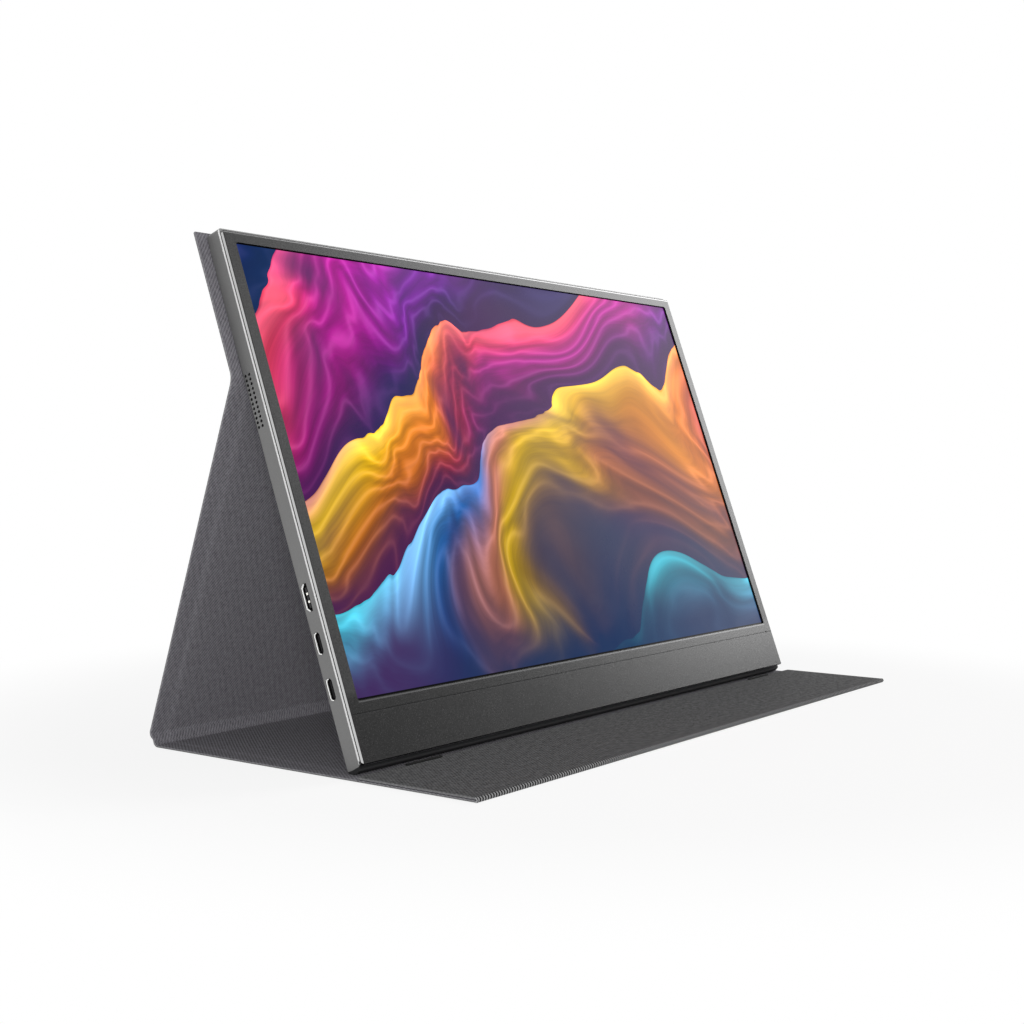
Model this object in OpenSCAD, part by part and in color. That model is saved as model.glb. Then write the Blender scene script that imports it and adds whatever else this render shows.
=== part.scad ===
// Portable 15.6 inch monitor standing on its folding cover.
// Millimetres, +Z up, the screen faces -Y. The origin lies on the table, under the middle of the whole part.

/* [Monitor] */
// Width of the monitor over its side walls
monitor_w = 357; // [352:0.5:366]
// Thickness from the face of the bezel to the back of the rear shell
monitor_t = 10; // [9.5:0.1:12]
// Lean of the screen from upright, in degrees
tilt = 20.2; // [16:0.1:24]
// Width of the lit picture
screen_w = 344.2; // [338:0.1:346]
// Height of the lit picture
screen_h = 193.6; // [185:0.1:200]
// Height of the chin under the picture, down to the table side of the bezel
chin_h = 25.2; // [23:0.1:30]
// Height of the bezel over the picture
top_bezel_h = 5.5; // [4.5:0.1:8]
// Height of the bezel strip between the picture and the chin cover
seam_strip_h = 5.2; // [4:0.1:7]
// Width of the seam over the chin cover
seam_gap = 0.3; // [0.2:0.05:0.6]

/* [Rear shell] */
// Thickness of the rear shell's side walls
wall_t = 1.5; // [1.2:0.1:2]
// Thickness of the rear shell's back
back_t = 1.2; // [0.9:0.1:1.5]
// Radius of the round bottom edge that stands on the cover
bottom_r = 4; // [3.6:0.1:4.4]
// Radius of the rounding along the top of the back
top_r = 3; // [2:0.1:4]
// Radius of the rounding along the sides of the back
side_r = 1; // [0.5:0.1:1.4]
// Height by which the shell stands over the top of the bezel
crest_h = 1.4; // [0.8:0.1:2]
// Depth of the bezel's side, from its face to the shadow groove
bezel_side_t = 1.8; // [1.5:0.1:2]
// Width of the shadow groove between bezel and shell
groove_w = 0.4; // [0.2:0.05:0.5]
// Depth of the shadow groove
groove_d = 0.6; // [0.4:0.1:0.9]
// Width of the groove along the bottom edge
bottom_groove_w = 1.3; // [0.8:0.1:1.5]
// Radius of the corners seen from the front
corner_r = 1.6; // [1:0.1:3]

/* [Ports] */
// Height of the lower USB-C port over the monitor's foot
usb_low_y = 34.1; // [28:0.1:38]
// Height of the upper USB-C port over the monitor's foot
usb_high_y = 52.8; // [49:0.1:56]
// Height of the mini HDMI port over the monitor's foot
hdmi_y = 71.5; // [68:0.1:76]
// Height of the headphone socket over the monitor's foot
jack_y = 34.1; // [26:0.1:38]
// Diameter of the headphone socket's bore
jack_bore_d = 3.6; // [3.5:0.05:3.7]
// Depth of the port axes behind the bezel's face
port_z = 7; // [6.8:0.05:7]

/* [Speakers] */
// Height of the middle of the speaker grille over the monitor's foot
grille_y = 154.5; // [150:0.5:160]
// Number of holes in a row of the grille
grille_holes = 12; // [6:1:13]
// Number of rows in the grille
grille_rows = 2; // [1:1:2]
// Distance between the holes of a row
grille_pitch = 2; // [1.8:0.05:2.3]
// Distance between the rows
grille_row_pitch = 2.2; // [1.8:0.05:2.2]
// Diameter of a grille hole
grille_hole_d = 1.3; // [0.8:0.05:1.4]

/* [Buttons] */
// Height of the power button over the monitor's foot
power_y = 54; // [52:0.1:58]
// Distance between the middles of the buttons
button_pitch = 14; // [13:0.1:16]
// Length of a button cap
button_l = 9; // [7:0.1:10]
// Width of a button cap
button_w = 2.4; // [2:0.1:2.8]
// Height by which a cap stands out of the wall
button_proud = 0.5; // [0.4:0.05:0.8]
// Travel of a button
button_travel = 0.4; // [0.2:0.05:0.5]

/* [Cover] */
// Width of the cover
cover_w = 368; // [366:0.5:376]
// Thickness of a cover panel
panel_t = 1; // [0.9:0.05:1.4]
// Thickness of the fabric on each face of a panel
skin_t = 0.25; // [0.15:0.05:0.3]
// Length of the panel that holds on to the monitor's back
upper_l = 64.2; // [54:0.1:74]
// Height by which that panel stands over the shell
upper_proud = 1.6; // [0.5:0.1:3]
// Length of the base, from the front lip to the spine
base_l = 170.8; // [160:0.1:185]
// Length of the spine strip
spine_l = 6.1; // [5:0.1:8]
// Rise of the spine strip at rest, in degrees
spine_rise = 55; // [50:0.5:62]
// Length of the flap, from the front lip to its free edge
flap_l = 56.9; // [50:0.1:60]
// Distance from the flap's free edge to the line where the monitor stands
stand_gap = 7.1; // [6.6:0.1:12]
// Distance of the rubber stops from the middle
stop_x = 145; // [110:1:150]
// Length of a rubber stop
stop_l = 22.5; // [15:0.5:30]
// Width of a rubber stop
stop_w = 1.6; // [1.2:0.1:2.5]

/* [Hidden] */
$fn = 64;
eps = 0.01;
seat_gap = 0.1;       // between the cover and what rests on it
slide_gap = 0.15;     // round a cap or a socket in its cut-out
crease_gap = 0.15;    // between a crease's bead and the next panel
lip_rod_r = 0.5;      // rolled edge on the axis of the front lip
edge_w = 2;           // pressed fabric border round the boards

// Heights in the monitor's own frame: y up the screen from the foot, z out of the screen from the bezel's face.
bottom_drop = 2.4;    // the shell's foot under the bezel's lower edge
chin_y = bottom_drop;
screen_y = chin_y + chin_h;
seam_y = screen_y - seam_strip_h;
screen_top = screen_y + screen_h;
bezel_top = screen_top + top_bezel_h;
shell_top = bezel_top + crest_h;
half_w = monitor_w / 2;
back_z = -monitor_t;
inner_x = half_w - wall_t;
floor_z = back_z + back_t;
rim_z = -bezel_side_t - groove_w;

// Layers behind the bezel
web_t = 0.8;
glass_t = 1.1;
film_t = 0.3;
guide_t = 1.5;
reflector_t = 0.2;
tray_t = 0.4;
glass_z = -web_t;
film_z = glass_z - glass_t;
guide_z = film_z - film_t;
reflector_z = guide_z - guide_t;
tray_z = reflector_z - reflector_t;
tray_back_z = tray_z - tray_t;
picture_reveal = 0.4;             // the bezel's opening is larger than the picture all round
glass_side = 3.2;                 // glass beyond the picture at the sides and the top
glass_foot = 9;                   // glass beyond the picture at the foot
glass_gap = 0.3;                  // between the glass and the bezel's skirt
tray_inset = 1.1;                 // tray inside the glass outline
guide_gap = 0.1;
skirt_t = 0.8;
skirt_gap = 0.1;
skirt_z = -4.4;

// Boards
board_t = 1;
board_z = -port_z + board_t / 2;  // front face, so that the sockets sit in the middle of the board
boss_d = 4.4;
screw_d = 1.6;
screw_head_d = 3;
screw_head_t = 0.6;
screw_l = 2;

// The cover's creases seen from the side, as [y, z]
half_t = panel_t / 2;
bead_r = half_t;
spine_dy = spine_l * cos(spine_rise);
spine_dz = spine_l * sin(spine_rise);
lip_y = (lip_rod_r - base_l - spine_dy - bead_r) / 2;
lip_axis = [lip_y, panel_t + seat_gap / 2];
base_axis = [lip_y + base_l, half_t];
spine_axis = base_axis + [spine_dy, spine_dz];
flap_end = lip_y + flap_l;
foot = [flap_end + stand_gap, panel_t + seat_gap + bottom_r];  // axis of the round bottom edge

// From the monitor's frame to the table's, as [y, z]
function turned(p) = [p[0] * sin(tilt) - p[1] * cos(tilt), p[0] * cos(tilt) + p[1] * sin(tilt)];
foot_local = [bottom_r, back_z + bottom_r];
monitor_origin = foot - turned(foot_local);
function placed(p) = monitor_origin + turned(p);

panel_z = back_z - seat_gap - half_t;      // middle of the upper panel, behind the shell
upper_top = shell_top + upper_proud;
fold_y = upper_top - upper_l;
fold_axis = placed([fold_y, panel_z]);
leg_run = spine_axis - fold_axis;
leg_l = norm(leg_run);
leg_lean = atan2(leg_run[0], -leg_run[1]);

// Turns of the joints
flat_clear = 0.4;
leg_turn = leg_lean + tilt;
spine_turn = 90 + leg_lean - spine_rise;
base_turn = spine_rise;
echo(fold_axis = fold_axis, spine_axis = spine_axis, base_axis = base_axis, lip_axis = lip_axis);
echo(leg_l = leg_l, leg_turn = leg_turn, leg_max = leg_turn - flat_clear, monitor_origin = monitor_origin);
echo(spine_ratio = spine_turn / leg_turn, base_ratio = base_turn / leg_turn);
echo(jack = placed([jack_y, -jack_z]), usb_low = placed([usb_low_y, -port_z]));
echo(usb_high = placed([usb_high_y, -port_z]), hdmi = placed([hdmi_y, -port_z]));

/* Helpers */

// Puts what is drawn in the monitor's frame in its place.
module in_monitor() {
    translate([0, monitor_origin[0], monitor_origin[1]])
        rotate([90 - tilt, 0, 0])
            children();
}

// A block from one corner to the opposite one.
module block(low, high) {
    translate(low)
        cube(high - low);
}

// A side profile in [y, z], drawn out along X over a width that is centred.
module across(width) {
    translate([-width / 2, 0, 0])
        rotate([90, 0, 90])
            linear_extrude(width)
                children();
}

// A plan profile in [x, z], drawn out along Y from y0 to y1.
module upward(y0, y1) {
    translate([0, y1, 0])
        rotate([90, 0, 0])
            linear_extrude(y1 - y0)
                children();
}

// A rectangle from low to high with round corners of radius r.
module round_rect(low, high, r) {
    size = high - low;
    translate(low + [r, 0])
        square([size[0] - 2 * r, size[1]]);
    translate(low + [0, r])
        square([size[0], size[1] - 2 * r]);
    for (x = [low[0] + r, high[0] - r], y = [low[1] + r, high[1] - r])
        translate([x, y])
            circle(r);
}

// A bar with round ends, long along y, drawn out along X from x0 to x1.
module slot_bar(x0, x1, y, z, length, width) {
    translate([x0, y, z])
        rotate([90, 0, 90])
            linear_extrude(x1 - x0) {
                square([length - width, width], center = true);
                for (side = [-1, 1])
                    translate([side * (length - width) / 2, 0])
                        circle(width / 2);
            }
}

/* Rear shell */

rim_chamfer = 0.5;
bezel_chamfer = 0.5;
bezel_chamfer_z = 1.3;

// The shell's outline from the side, drawn in by side along its edges and by back behind: round foot, rounded crest.
module shell_side(side, back) {
    top = shell_top - side;
    low = back_z + back;
    translate(foot_local)
        circle(bottom_r - max(side, back));
    translate([bottom_r, low])
        square([top - top_r - bottom_r, -low]);
    translate([bottom_r, low + top_r])
        square([top - bottom_r, -low - top_r]);
    translate([top - top_r, low + top_r])
        circle(top_r);
}

// The shell's outline from below: flat sides with rounded edges along the back.
module shell_plan() {
    translate([-half_w, back_z + side_r])
        square([monitor_w, -back_z]);
    translate([-half_w + side_r, back_z])
        square([monitor_w - 2 * side_r, -back_z]);
    for (side = [-1, 1])
        translate([side * (half_w - side_r), back_z + side_r])
            circle(side_r);
}

module shell_block() {
    intersection() {
        across(monitor_w)
            shell_side(0, 0);
        upward(-1, shell_top + 1)
            difference() {
                shell_plan();
                for (side = [-1, 1])
                    translate([side * half_w, rim_z])
                        rotate(45)
                            square(rim_chamfer * sqrt(2), center = true);
            }
        translate([0, 0, back_z])
            linear_extrude(rim_z - back_z)
                round_rect([-half_w, -1], [half_w, shell_top], corner_r);
    }
}

// The hollow of the tray, with the same roundings as the outside.
module shell_hollow() {
    intersection() {
        across(2 * inner_x)
            shell_side(wall_t, back_t);
        block([-inner_x, 0, floor_z], [inner_x, shell_top - wall_t, 0]);
    }
}

module grille_holes_at(side) {
    for (row = [0 : grille_rows - 1], hole = [0 : grille_holes - 1])
        translate([
            side * (half_w - 2 * wall_t),
            grille_y + (hole - (grille_holes - 1) / 2) * grille_pitch,
            -port_z - 0.2 + (row - (grille_rows - 1) / 2) * grille_row_pitch
        ])
            rotate([0, side * 90, 0])
                cylinder(d = grille_hole_d, h = 3 * wall_t, $fn = 24);
}

// Socket sizes. A USB-C shell is 8.94 x 3.16 and a mini HDMI shell is 11.2 x 3.2 outside.
usb_w = 8.94;
usb_t = 3.16;
usb_l = 7.3;
usb_sheet = 0.3;
usb_tongue_w = 6.7;
usb_tongue_t = 0.7;
usb_tongue_l = 5.6;
hdmi_w = 11.2;
hdmi_t = 3.2;
hdmi_l = 7.5;
hdmi_bevel = 1.5;
hdmi_sheet = 0.35;
hdmi_tongue_w = 8.2;
hdmi_tongue_t = 0.8;
hdmi_tongue_l = 5.8;
socket_recess = 0.25;
jack_body_w = 6.4;
jack_body_t = 4.3;
jack_l = 12.5;
jack_z = monitor_t - back_t - jack_body_t / 2 - 0.05;
jack_nose_d = 4.2;

function hdmi_outline(grow) = [
    [-hdmi_w / 2 - grow, hdmi_t / 2 + grow],
    [hdmi_w / 2 + grow, hdmi_t / 2 + grow],
    [hdmi_w / 2 + grow, -hdmi_t / 2 + hdmi_bevel],
    [hdmi_w / 2 - hdmi_bevel + grow / 2, -hdmi_t / 2 - grow],
    [-hdmi_w / 2 + hdmi_bevel - grow / 2, -hdmi_t / 2 - grow],
    [-hdmi_w / 2 - grow, -hdmi_t / 2 + hdmi_bevel]
];

// The HDMI outline in [y, z], drawn out along X.
module hdmi_bar(x0, x1, grow) {
    translate([x0, hdmi_y, -port_z])
        rotate([90, 0, 90])
            linear_extrude(x1 - x0)
                polygon(hdmi_outline(grow));
}

module port_cuts() {
    for (y = [usb_low_y, usb_high_y])
        slot_bar(-half_w - 1, -inner_x + 1, y, -port_z, usb_w + 2 * slide_gap, usb_t + 2 * slide_gap);
    hdmi_bar(-half_w - 1, -inner_x + 1, slide_gap);
    translate([inner_x - 1, jack_y, -jack_z])
        rotate([0, 90, 0])
            cylinder(d = jack_nose_d + 2 * slide_gap, h = wall_t + 2);
    for (n = [0 : 2])
        slot_bar(inner_x - 1, half_w + 1, power_y + n * button_pitch, -port_z,
            button_l + 2 * slide_gap, button_w + 2 * slide_gap);
}

main_w = 67;
main_foot = 8;
main_head = 22;
main_edge = 1;
main_low = [-inner_x + main_edge, usb_low_y - main_foot];
main_high = [main_low[0] + main_w, hdmi_y + main_head];
main_h = main_high[1] - main_low[1];
key_w = 11;
key_end = 10;
switch_reach = 5;
key_low = [inner_x - switch_reach - key_w, power_y - key_end];
key_high = [inner_x - switch_reach, power_y + 2 * button_pitch + key_end];
hole_inset = 4;
hole_by_ports = 14;
main_holes = [
    [main_low[0] + hole_by_ports, main_low[1] + hole_inset - 1],
    [main_high[0] - hole_inset, main_low[1] + hole_inset],
    [main_low[0] + hole_by_ports, main_high[1] - hole_inset],
    [main_high[0] - hole_inset, main_high[1] - hole_inset]
];
key_holes = [
    [key_low[0] + hole_inset, key_low[1] + hole_inset - 1],
    [key_low[0] + hole_inset, key_high[1] - hole_inset + 1]
];

module boss(p) {
    translate([p[0], p[1], floor_z - eps])
        difference() {
            cylinder(d = boss_d, h = board_z - board_t - floor_z + eps);
            translate([0, 0, 2 * eps])
                cylinder(d = screw_d, h = monitor_t);
        }
}

module rear_shell() {
    color("dimgray")
        in_monitor() {
            difference() {
                shell_block();
                shell_hollow();
                port_cuts();
                grille_holes_at(-1);
                grille_holes_at(1);
                // The shadow groove round the bezel, and the wider one along the foot
                difference() {
                    block([-half_w - 1, -1, rim_z - groove_d], [half_w + 1, chin_y + 1, rim_z + 1]);
                    block([-half_w - 2, chin_y + groove_d, rim_z - monitor_t], [half_w + 2, shell_top, 1]);
                }
                block([-half_w - 1, -1, rim_z - bottom_groove_w + groove_d],
                    [half_w + 1, chin_y + groove_d, rim_z + 1]);
            }
            for (p = concat(main_holes, key_holes))
                boss(p);
        }
}

/* Bezel and chin */

chin_recess_t = 0.5;
chin_side = bezel_chamfer + 0.1;
opening_low = [-screen_w / 2 - picture_reveal, screen_y - picture_reveal];
opening_high = [screen_w / 2 + picture_reveal, screen_top + picture_reveal];
glass_low = [-screen_w / 2 - glass_side, screen_y - glass_foot];
glass_high = [screen_w / 2 + glass_side, screen_top + glass_side];
opening_r = 1;

module bezel_block() {
    intersection() {
        upward(chin_y - 1, bezel_top + 1)
            polygon([
                [-half_w, -bezel_side_t], [-half_w, -bezel_chamfer_z], [-half_w + bezel_chamfer, 0],
                [half_w - bezel_chamfer, 0], [half_w, -bezel_chamfer_z], [half_w, -bezel_side_t]
            ]);
        across(monitor_w + 2)
            polygon([
                [chin_y, -bezel_side_t], [chin_y, -bezel_chamfer_z], [chin_y + bezel_chamfer, 0],
                [bezel_top - bezel_chamfer, 0], [bezel_top, -bezel_chamfer_z], [bezel_top, -bezel_side_t]
            ]);
        translate([0, 0, -bezel_side_t])
            linear_extrude(bezel_side_t)
                round_rect([-half_w, chin_y], [half_w, bezel_top], corner_r);
    }
}

// The foot of the bezel behind the face: a land that closes the groove, and the skirt inside the shell's wall.
module bezel_skirt() {
    land = groove_d;
    block([-half_w + land, chin_y + land, rim_z], [half_w - land, bezel_top - land, -bezel_side_t]);
    outer = wall_t + skirt_gap;
    difference() {
        block([-half_w + outer, chin_y + outer, skirt_z], [half_w - outer, bezel_top - outer, rim_z + eps]);
        block([-half_w + outer + skirt_t, chin_y + outer + skirt_t, skirt_z - 1],
            [half_w - outer - skirt_t, bezel_top - outer - skirt_t, 0]);
    }
}

module front_frame() {
    color("gray")
        in_monitor()
            difference() {
                union() {
                    bezel_block();
                    bezel_skirt();
                }
                // Opening with its small chamfer
                translate([0, 0, -monitor_t])
                    linear_extrude(monitor_t + 1)
                        round_rect(opening_low, opening_high, opening_r);
                // Pocket for the panel
                block([glass_low[0] - glass_gap, glass_low[1] - glass_gap, -monitor_t],
                    [glass_high[0] + glass_gap, glass_high[1] + glass_gap, glass_z]);
                // Recess for the chin cover, and the space for the driver board behind it
                block([-half_w + chin_side, chin_y - 1, -chin_recess_t], [half_w - chin_side, seam_y, 1]);
                block([-half_w + wall_t + skirt_gap + skirt_t, chin_y + wall_t + skirt_gap + skirt_t, -monitor_t],
                    [half_w - wall_t - skirt_gap - skirt_t, glass_low[1] - 2 * glass_gap, -bezel_side_t]);
            }
}

module chin_cover() {
    chin_low = chin_y + bezel_chamfer;
    color("dimgray")
        in_monitor()
            intersection() {
                block([-half_w + chin_side, chin_y, -chin_recess_t], [half_w - chin_side, seam_y - seam_gap, 0]);
                across(monitor_w)
                    polygon([
                        [chin_y, -chin_recess_t - 1], [chin_y, -bezel_chamfer_z / 2], [chin_low, 0],
                        [seam_y - seam_gap - 0.15, 0], [seam_y - seam_gap, -0.15],
                        [seam_y - seam_gap, -chin_recess_t - 1]
                    ]);
            }
}

/* Screen */

module lcd_panel() {
    color("midnightblue")
        in_monitor()
            block([glass_low[0], glass_low[1], film_z], [glass_high[0], glass_high[1], glass_z]);
}

tray_low = glass_low + [tray_inset, tray_inset];
tray_high = glass_high - [tray_inset, tray_inset];
guide_low = tray_low + [tray_t + guide_gap, tray_t + guide_gap + 1.2];
guide_high = tray_high - [tray_t + guide_gap, tray_t + guide_gap];

module optical_films() {
    color("whitesmoke")
        in_monitor()
            block([guide_low[0], guide_low[1], guide_z], [guide_high[0], guide_high[1], film_z]);
}

module light_guide() {
    color("aliceblue")
        in_monitor()
            block([guide_low[0], guide_low[1], reflector_z], [guide_high[0], guide_high[1], guide_z]);
}

module reflector_sheet() {
    color("white")
        in_monitor()
            block([guide_low[0], guide_low[1], tray_z], [guide_high[0], guide_high[1], reflector_z]);
}

module backlight_tray() {
    color("silver")
        in_monitor()
            difference() {
                block([tray_low[0], tray_low[1], tray_back_z], [tray_high[0], tray_high[1], film_z]);
                block([tray_low[0] + tray_t, tray_low[1] + tray_t, tray_z],
                    [tray_high[0] - tray_t, tray_high[1] - tray_t, 0]);
            }
}

// The lamps shine up into the lower edge of the light guide.
led_pitch = 14;
led_w = 4;
led_bar_t = 0.5;

module led_strip() {
    y0 = tray_low[1] + tray_t;
    count = floor((guide_high[0] - guide_low[0] - led_w) / led_pitch);
    color("gold")
        in_monitor() {
            block([guide_low[0], y0, tray_z], [guide_high[0], y0 + led_bar_t, guide_z]);
            for (n = [0 : count])
                block([(n - count / 2) * led_pitch - led_w / 2, y0 + led_bar_t - eps, reflector_z + 0.2],
                    [(n - count / 2) * led_pitch + led_w / 2, guide_low[1] - guide_gap, guide_z - 0.2]);
        }
}

/* Boards and cables */

driver_w = 240;
driver_h = 7;
driver_y = chin_y + wall_t + skirt_t + 1;
driver_t = 0.8;
driver_z = -bezel_side_t;
driver_chip_pitch = 40;
driver_chips = 5;
driver_chip = [10, 4];
chip_t = 0.9;

module panel_driver_board() {
    color("darkgreen")
        in_monitor() {
            block([-driver_w / 2, driver_y, driver_z - driver_t], [driver_w / 2, driver_y + driver_h, driver_z]);
            for (n = [0 : driver_chips - 1])
                translate([(n - (driver_chips - 1) / 2) * driver_chip_pitch, driver_y + driver_h / 2 - 0.3, 0])
                    block([-driver_chip[0] / 2, -driver_chip[1] / 2, driver_z - driver_t - chip_t],
                        [driver_chip[0] / 2, driver_chip[1] / 2, driver_z - driver_t + eps]);
        }
}

// Flexes carry the rows of the glass to the driver board.
flex_t = 0.15;
flex_w = 12;
flex_lap = 1.2;
flex_count = 5;
flex_pitch = 44;

module panel_flex() {
    color("darkorange")
        in_monitor()
            for (n = [0 : flex_count - 1])
                translate([(n - (flex_count - 1) / 2) * flex_pitch + flex_w, 0, 0]) {
                    turn_y = glass_low[1] + tray_inset - 0.2;
                    block([-flex_w / 2, driver_y + driver_h - flex_lap, driver_z - driver_t - flex_t],
                        [flex_w / 2, turn_y, driver_z - driver_t]);
                    block([-flex_w / 2, turn_y - flex_lap / 2, driver_z - driver_t], [flex_w / 2, turn_y, film_z]);
                }
}

chips = [[30, 34, 12, 12], [48, 20, 8, 8], [30, 14, 6, 5], [52, 44, 7, 7], [20, 54, 8, 5]];

module main_board() {
    color("darkgreen")
        in_monitor() {
            difference() {
                block([main_low[0], main_low[1], board_z - board_t], [main_high[0], main_high[1], board_z]);
                for (y = [usb_low_y, usb_high_y])
                    block([main_low[0] - 1, y - usb_w / 2 - slide_gap, back_z],
                        [-half_w + socket_recess + usb_l + slide_gap, y + usb_w / 2 + slide_gap, 0]);
                block([main_low[0] - 1, hdmi_y - hdmi_w / 2 - slide_gap, back_z],
                    [-half_w + socket_recess + hdmi_l + slide_gap, hdmi_y + hdmi_w / 2 + slide_gap, 0]);
                for (p = main_holes)
                    translate([p[0], p[1], back_z])
                        cylinder(d = screw_d + 2 * slide_gap, h = monitor_t);
            }
            for (c = chips)
                block([main_low[0] + c[0], main_low[1] + c[1], board_z - eps],
                    [main_low[0] + c[0] + c[2], main_low[1] + c[1] + c[3], board_z + chip_t]);
        }
}

cable_t = 0.2;
cable_z = board_z;
cable_lap = 3;
display_cable_w = 10;
button_cable_w = 6;
wire_inset = 6;

module display_cable() {
    x0 = main_high[0] - main_w / 3;
    bend_y = driver_y + cable_lap;
    color("darkorange")
        in_monitor() {
            block([x0, bend_y, cable_z], [x0 + display_cable_w, main_low[1] + cable_lap, cable_z + cable_t]);
            block([x0, bend_y, cable_z], [x0 + display_cable_w, bend_y + cable_t, driver_z - driver_t]);
        }
}

module button_cable() {
    y0 = main_high[1] - main_h / 2;
    color("darkorange")
        in_monitor()
            block([main_high[0] - cable_lap, y0, cable_z],
                [key_low[0] + cable_lap, y0 + button_cable_w, cable_z + cable_t]);
}

// Two pairs of wires, one to each speaker. A run goes along one axis from a point.
wire_d = 0.9;
wire_pitch = 1.5;
wire_z = board_z + wire_d / 2;

module wire_run(x, y, along_x, along_y) {
    translate([x, y, wire_z])
        rotate(along_x != 0 ? [0, 90, 0] : [-90, 0, 0])
            cylinder(d = wire_d, h = along_x + along_y, $fn = 16);
}

module speaker_wires() {
    left_x = main_low[0] + wire_inset;
    left_y = main_high[1] - wire_inset / 2;
    right_y = main_high[1] - main_h / 4;
    right_x = key_low[0] - wire_inset / 2;
    up_y = speaker_low_y + wire_inset;
    color("firebrick")
        in_monitor()
            for (n = [0, 1]) {
                d = n * wire_pitch;
                wire_run(left_x + d, left_y, 0, speaker_low_y - left_y);
                wire_run(main_high[0] - wire_inset, right_y + d, right_x - d - main_high[0] + wire_inset, 0);
                wire_run(right_x - d, right_y + d - wire_d / 2, 0, up_y - right_y + wire_d);
                wire_run(right_x - d - wire_d / 2, up_y + d, speaker_x - right_x + d + wire_d / 2, 0);
            }
}

module board_screws() {
    color("silver")
        in_monitor()
            for (p = concat(main_holes, key_holes))
                translate([p[0], p[1], board_z]) {
                    cylinder(d = screw_head_d, h = screw_head_t);
                    translate([0, 0, -screw_l])
                        cylinder(d = screw_d - 0.1, h = screw_l + eps);
                }
}

/* Sockets */

module usb_c_socket(y) {
    x0 = -half_w + socket_recess;
    color("silver")
        in_monitor()
            difference() {
                slot_bar(x0, x0 + usb_l, y, -port_z, usb_w, usb_t);
                slot_bar(x0 - 1, x0 + usb_l - 1, y, -port_z, usb_w - 2 * usb_sheet, usb_t - 2 * usb_sheet);
            }
}

module usb_c_contacts() {
    x0 = -half_w + socket_recess;
    color("black")
        in_monitor()
            for (y = [usb_low_y, usb_high_y])
                block([x0 + usb_l - 1 - usb_tongue_l, y - usb_tongue_w / 2, -port_z - usb_tongue_t / 2],
                    [x0 + usb_l - 1, y + usb_tongue_w / 2, -port_z + usb_tongue_t / 2]);
}

module mini_hdmi_socket() {
    x0 = -half_w + socket_recess;
    color("silver")
        in_monitor()
            difference() {
                hdmi_bar(x0, x0 + hdmi_l, 0);
                hdmi_bar(x0 - 1, x0 + hdmi_l - 1, -hdmi_sheet);
            }
}

module mini_hdmi_contacts() {
    x0 = -half_w + socket_recess;
    color("black")
        in_monitor()
            block([x0 + hdmi_l - 1 - hdmi_tongue_l, hdmi_y - hdmi_tongue_w / 2, -port_z - hdmi_tongue_t / 2],
                [x0 + hdmi_l - 1, hdmi_y + hdmi_tongue_w / 2, -port_z + hdmi_tongue_t / 2]);
}

module headphone_socket() {
    x1 = half_w - socket_recess;
    color("black")
        in_monitor()
            difference() {
                union() {
                    block([x1 - jack_l, jack_y - jack_body_w / 2, -jack_z - jack_body_t / 2],
                        [inner_x - slide_gap, jack_y + jack_body_w / 2, -jack_z + jack_body_t / 2]);
                    translate([inner_x - 1, jack_y, -jack_z])
                        rotate([0, 90, 0])
                            cylinder(d = jack_nose_d, h = x1 - inner_x + 1);
                }
                translate([x1 - jack_l + 1, jack_y, -jack_z])
                    rotate([0, 90, 0])
                        cylinder(d = jack_bore_d, h = jack_l);
            }
}

/* Speakers */

mesh_t = 0.2;
mesh_h = 28;
speaker_w = 15;
speaker_h = 60;
speaker_t = 4;
speaker_low_y = grille_y - speaker_h / 2;
speaker_x = inner_x - mesh_t - speaker_w;

module speaker(side) {
    x0 = speaker_x;
    z0 = floor_z;
    color("black")
        in_monitor()
            scale([side, 1, 1])
                difference() {
                    translate([0, 0, z0])
                        linear_extrude(speaker_t)
                            round_rect([x0, speaker_low_y], [x0 + speaker_w, speaker_low_y + speaker_h], 2);
                    // Sound slot towards the grille, and the cone
                    block([x0 + speaker_w - 1.5, grille_y - mesh_h / 2 + 1, z0 + 0.4],
                        [x0 + speaker_w + 1, grille_y + mesh_h / 2 - 1, z0 + speaker_t - 0.4]);
                    translate([x0 + speaker_w / 2 - 1, speaker_low_y + 10, z0 + speaker_t - 0.6])
                        cylinder(d = 10, h = 2);
                }
}

module speaker_mesh(side) {
    x0 = inner_x - mesh_t;
    color("black")
        in_monitor()
            scale([side, 1, 1])
                block([x0, grille_y - mesh_h / 2, floor_z], [inner_x, grille_y + mesh_h / 2, floor_z + speaker_t]);
}

/* Buttons */

switch_w = 5;
switch_t = 1.4;
switch_depth = 3;
plunger_l = 0.6;
plunger_w = 2;
flange_t = 0.9;
flange_grow = 1.2;
flange_edge = 0.6;
plunger_x = inner_x - flange_t - slide_gap - button_travel - slide_gap;

module button_board() {
    color("darkgreen")
        in_monitor() {
            difference() {
                block([key_low[0], key_low[1], board_z - board_t], [key_high[0], key_high[1], board_z]);
                for (p = key_holes)
                    translate([p[0], p[1], back_z])
                        cylinder(d = screw_d + 2 * slide_gap, h = monitor_t);
            }
            for (n = [0 : 2]) {
                y = power_y + n * button_pitch;
                block([key_high[0] - switch_depth, y - switch_w / 2, board_z - eps],
                    [plunger_x - plunger_l, y + switch_w / 2, board_z + switch_t]);
                block([plunger_x - plunger_l - eps, y - plunger_w / 2, board_z],
                    [plunger_x, y + plunger_w / 2, board_z + plunger_w / 2]);
            }
        }
}

module button_cap(n, name_color) {
    y = power_y + n * button_pitch;
    color(name_color)
        in_monitor() {
            slot_bar(inner_x - slide_gap - eps, half_w + button_proud, y, -port_z, button_l, button_w);
            slot_bar(inner_x - slide_gap - flange_t, inner_x - slide_gap, y, -port_z,
                button_l + flange_grow, button_w + 2 * slide_gap + flange_edge);
        }
}

plate_t = 0.5;
plate_w = 120;
plate_h = 36;
plate_r = 3;

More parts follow.
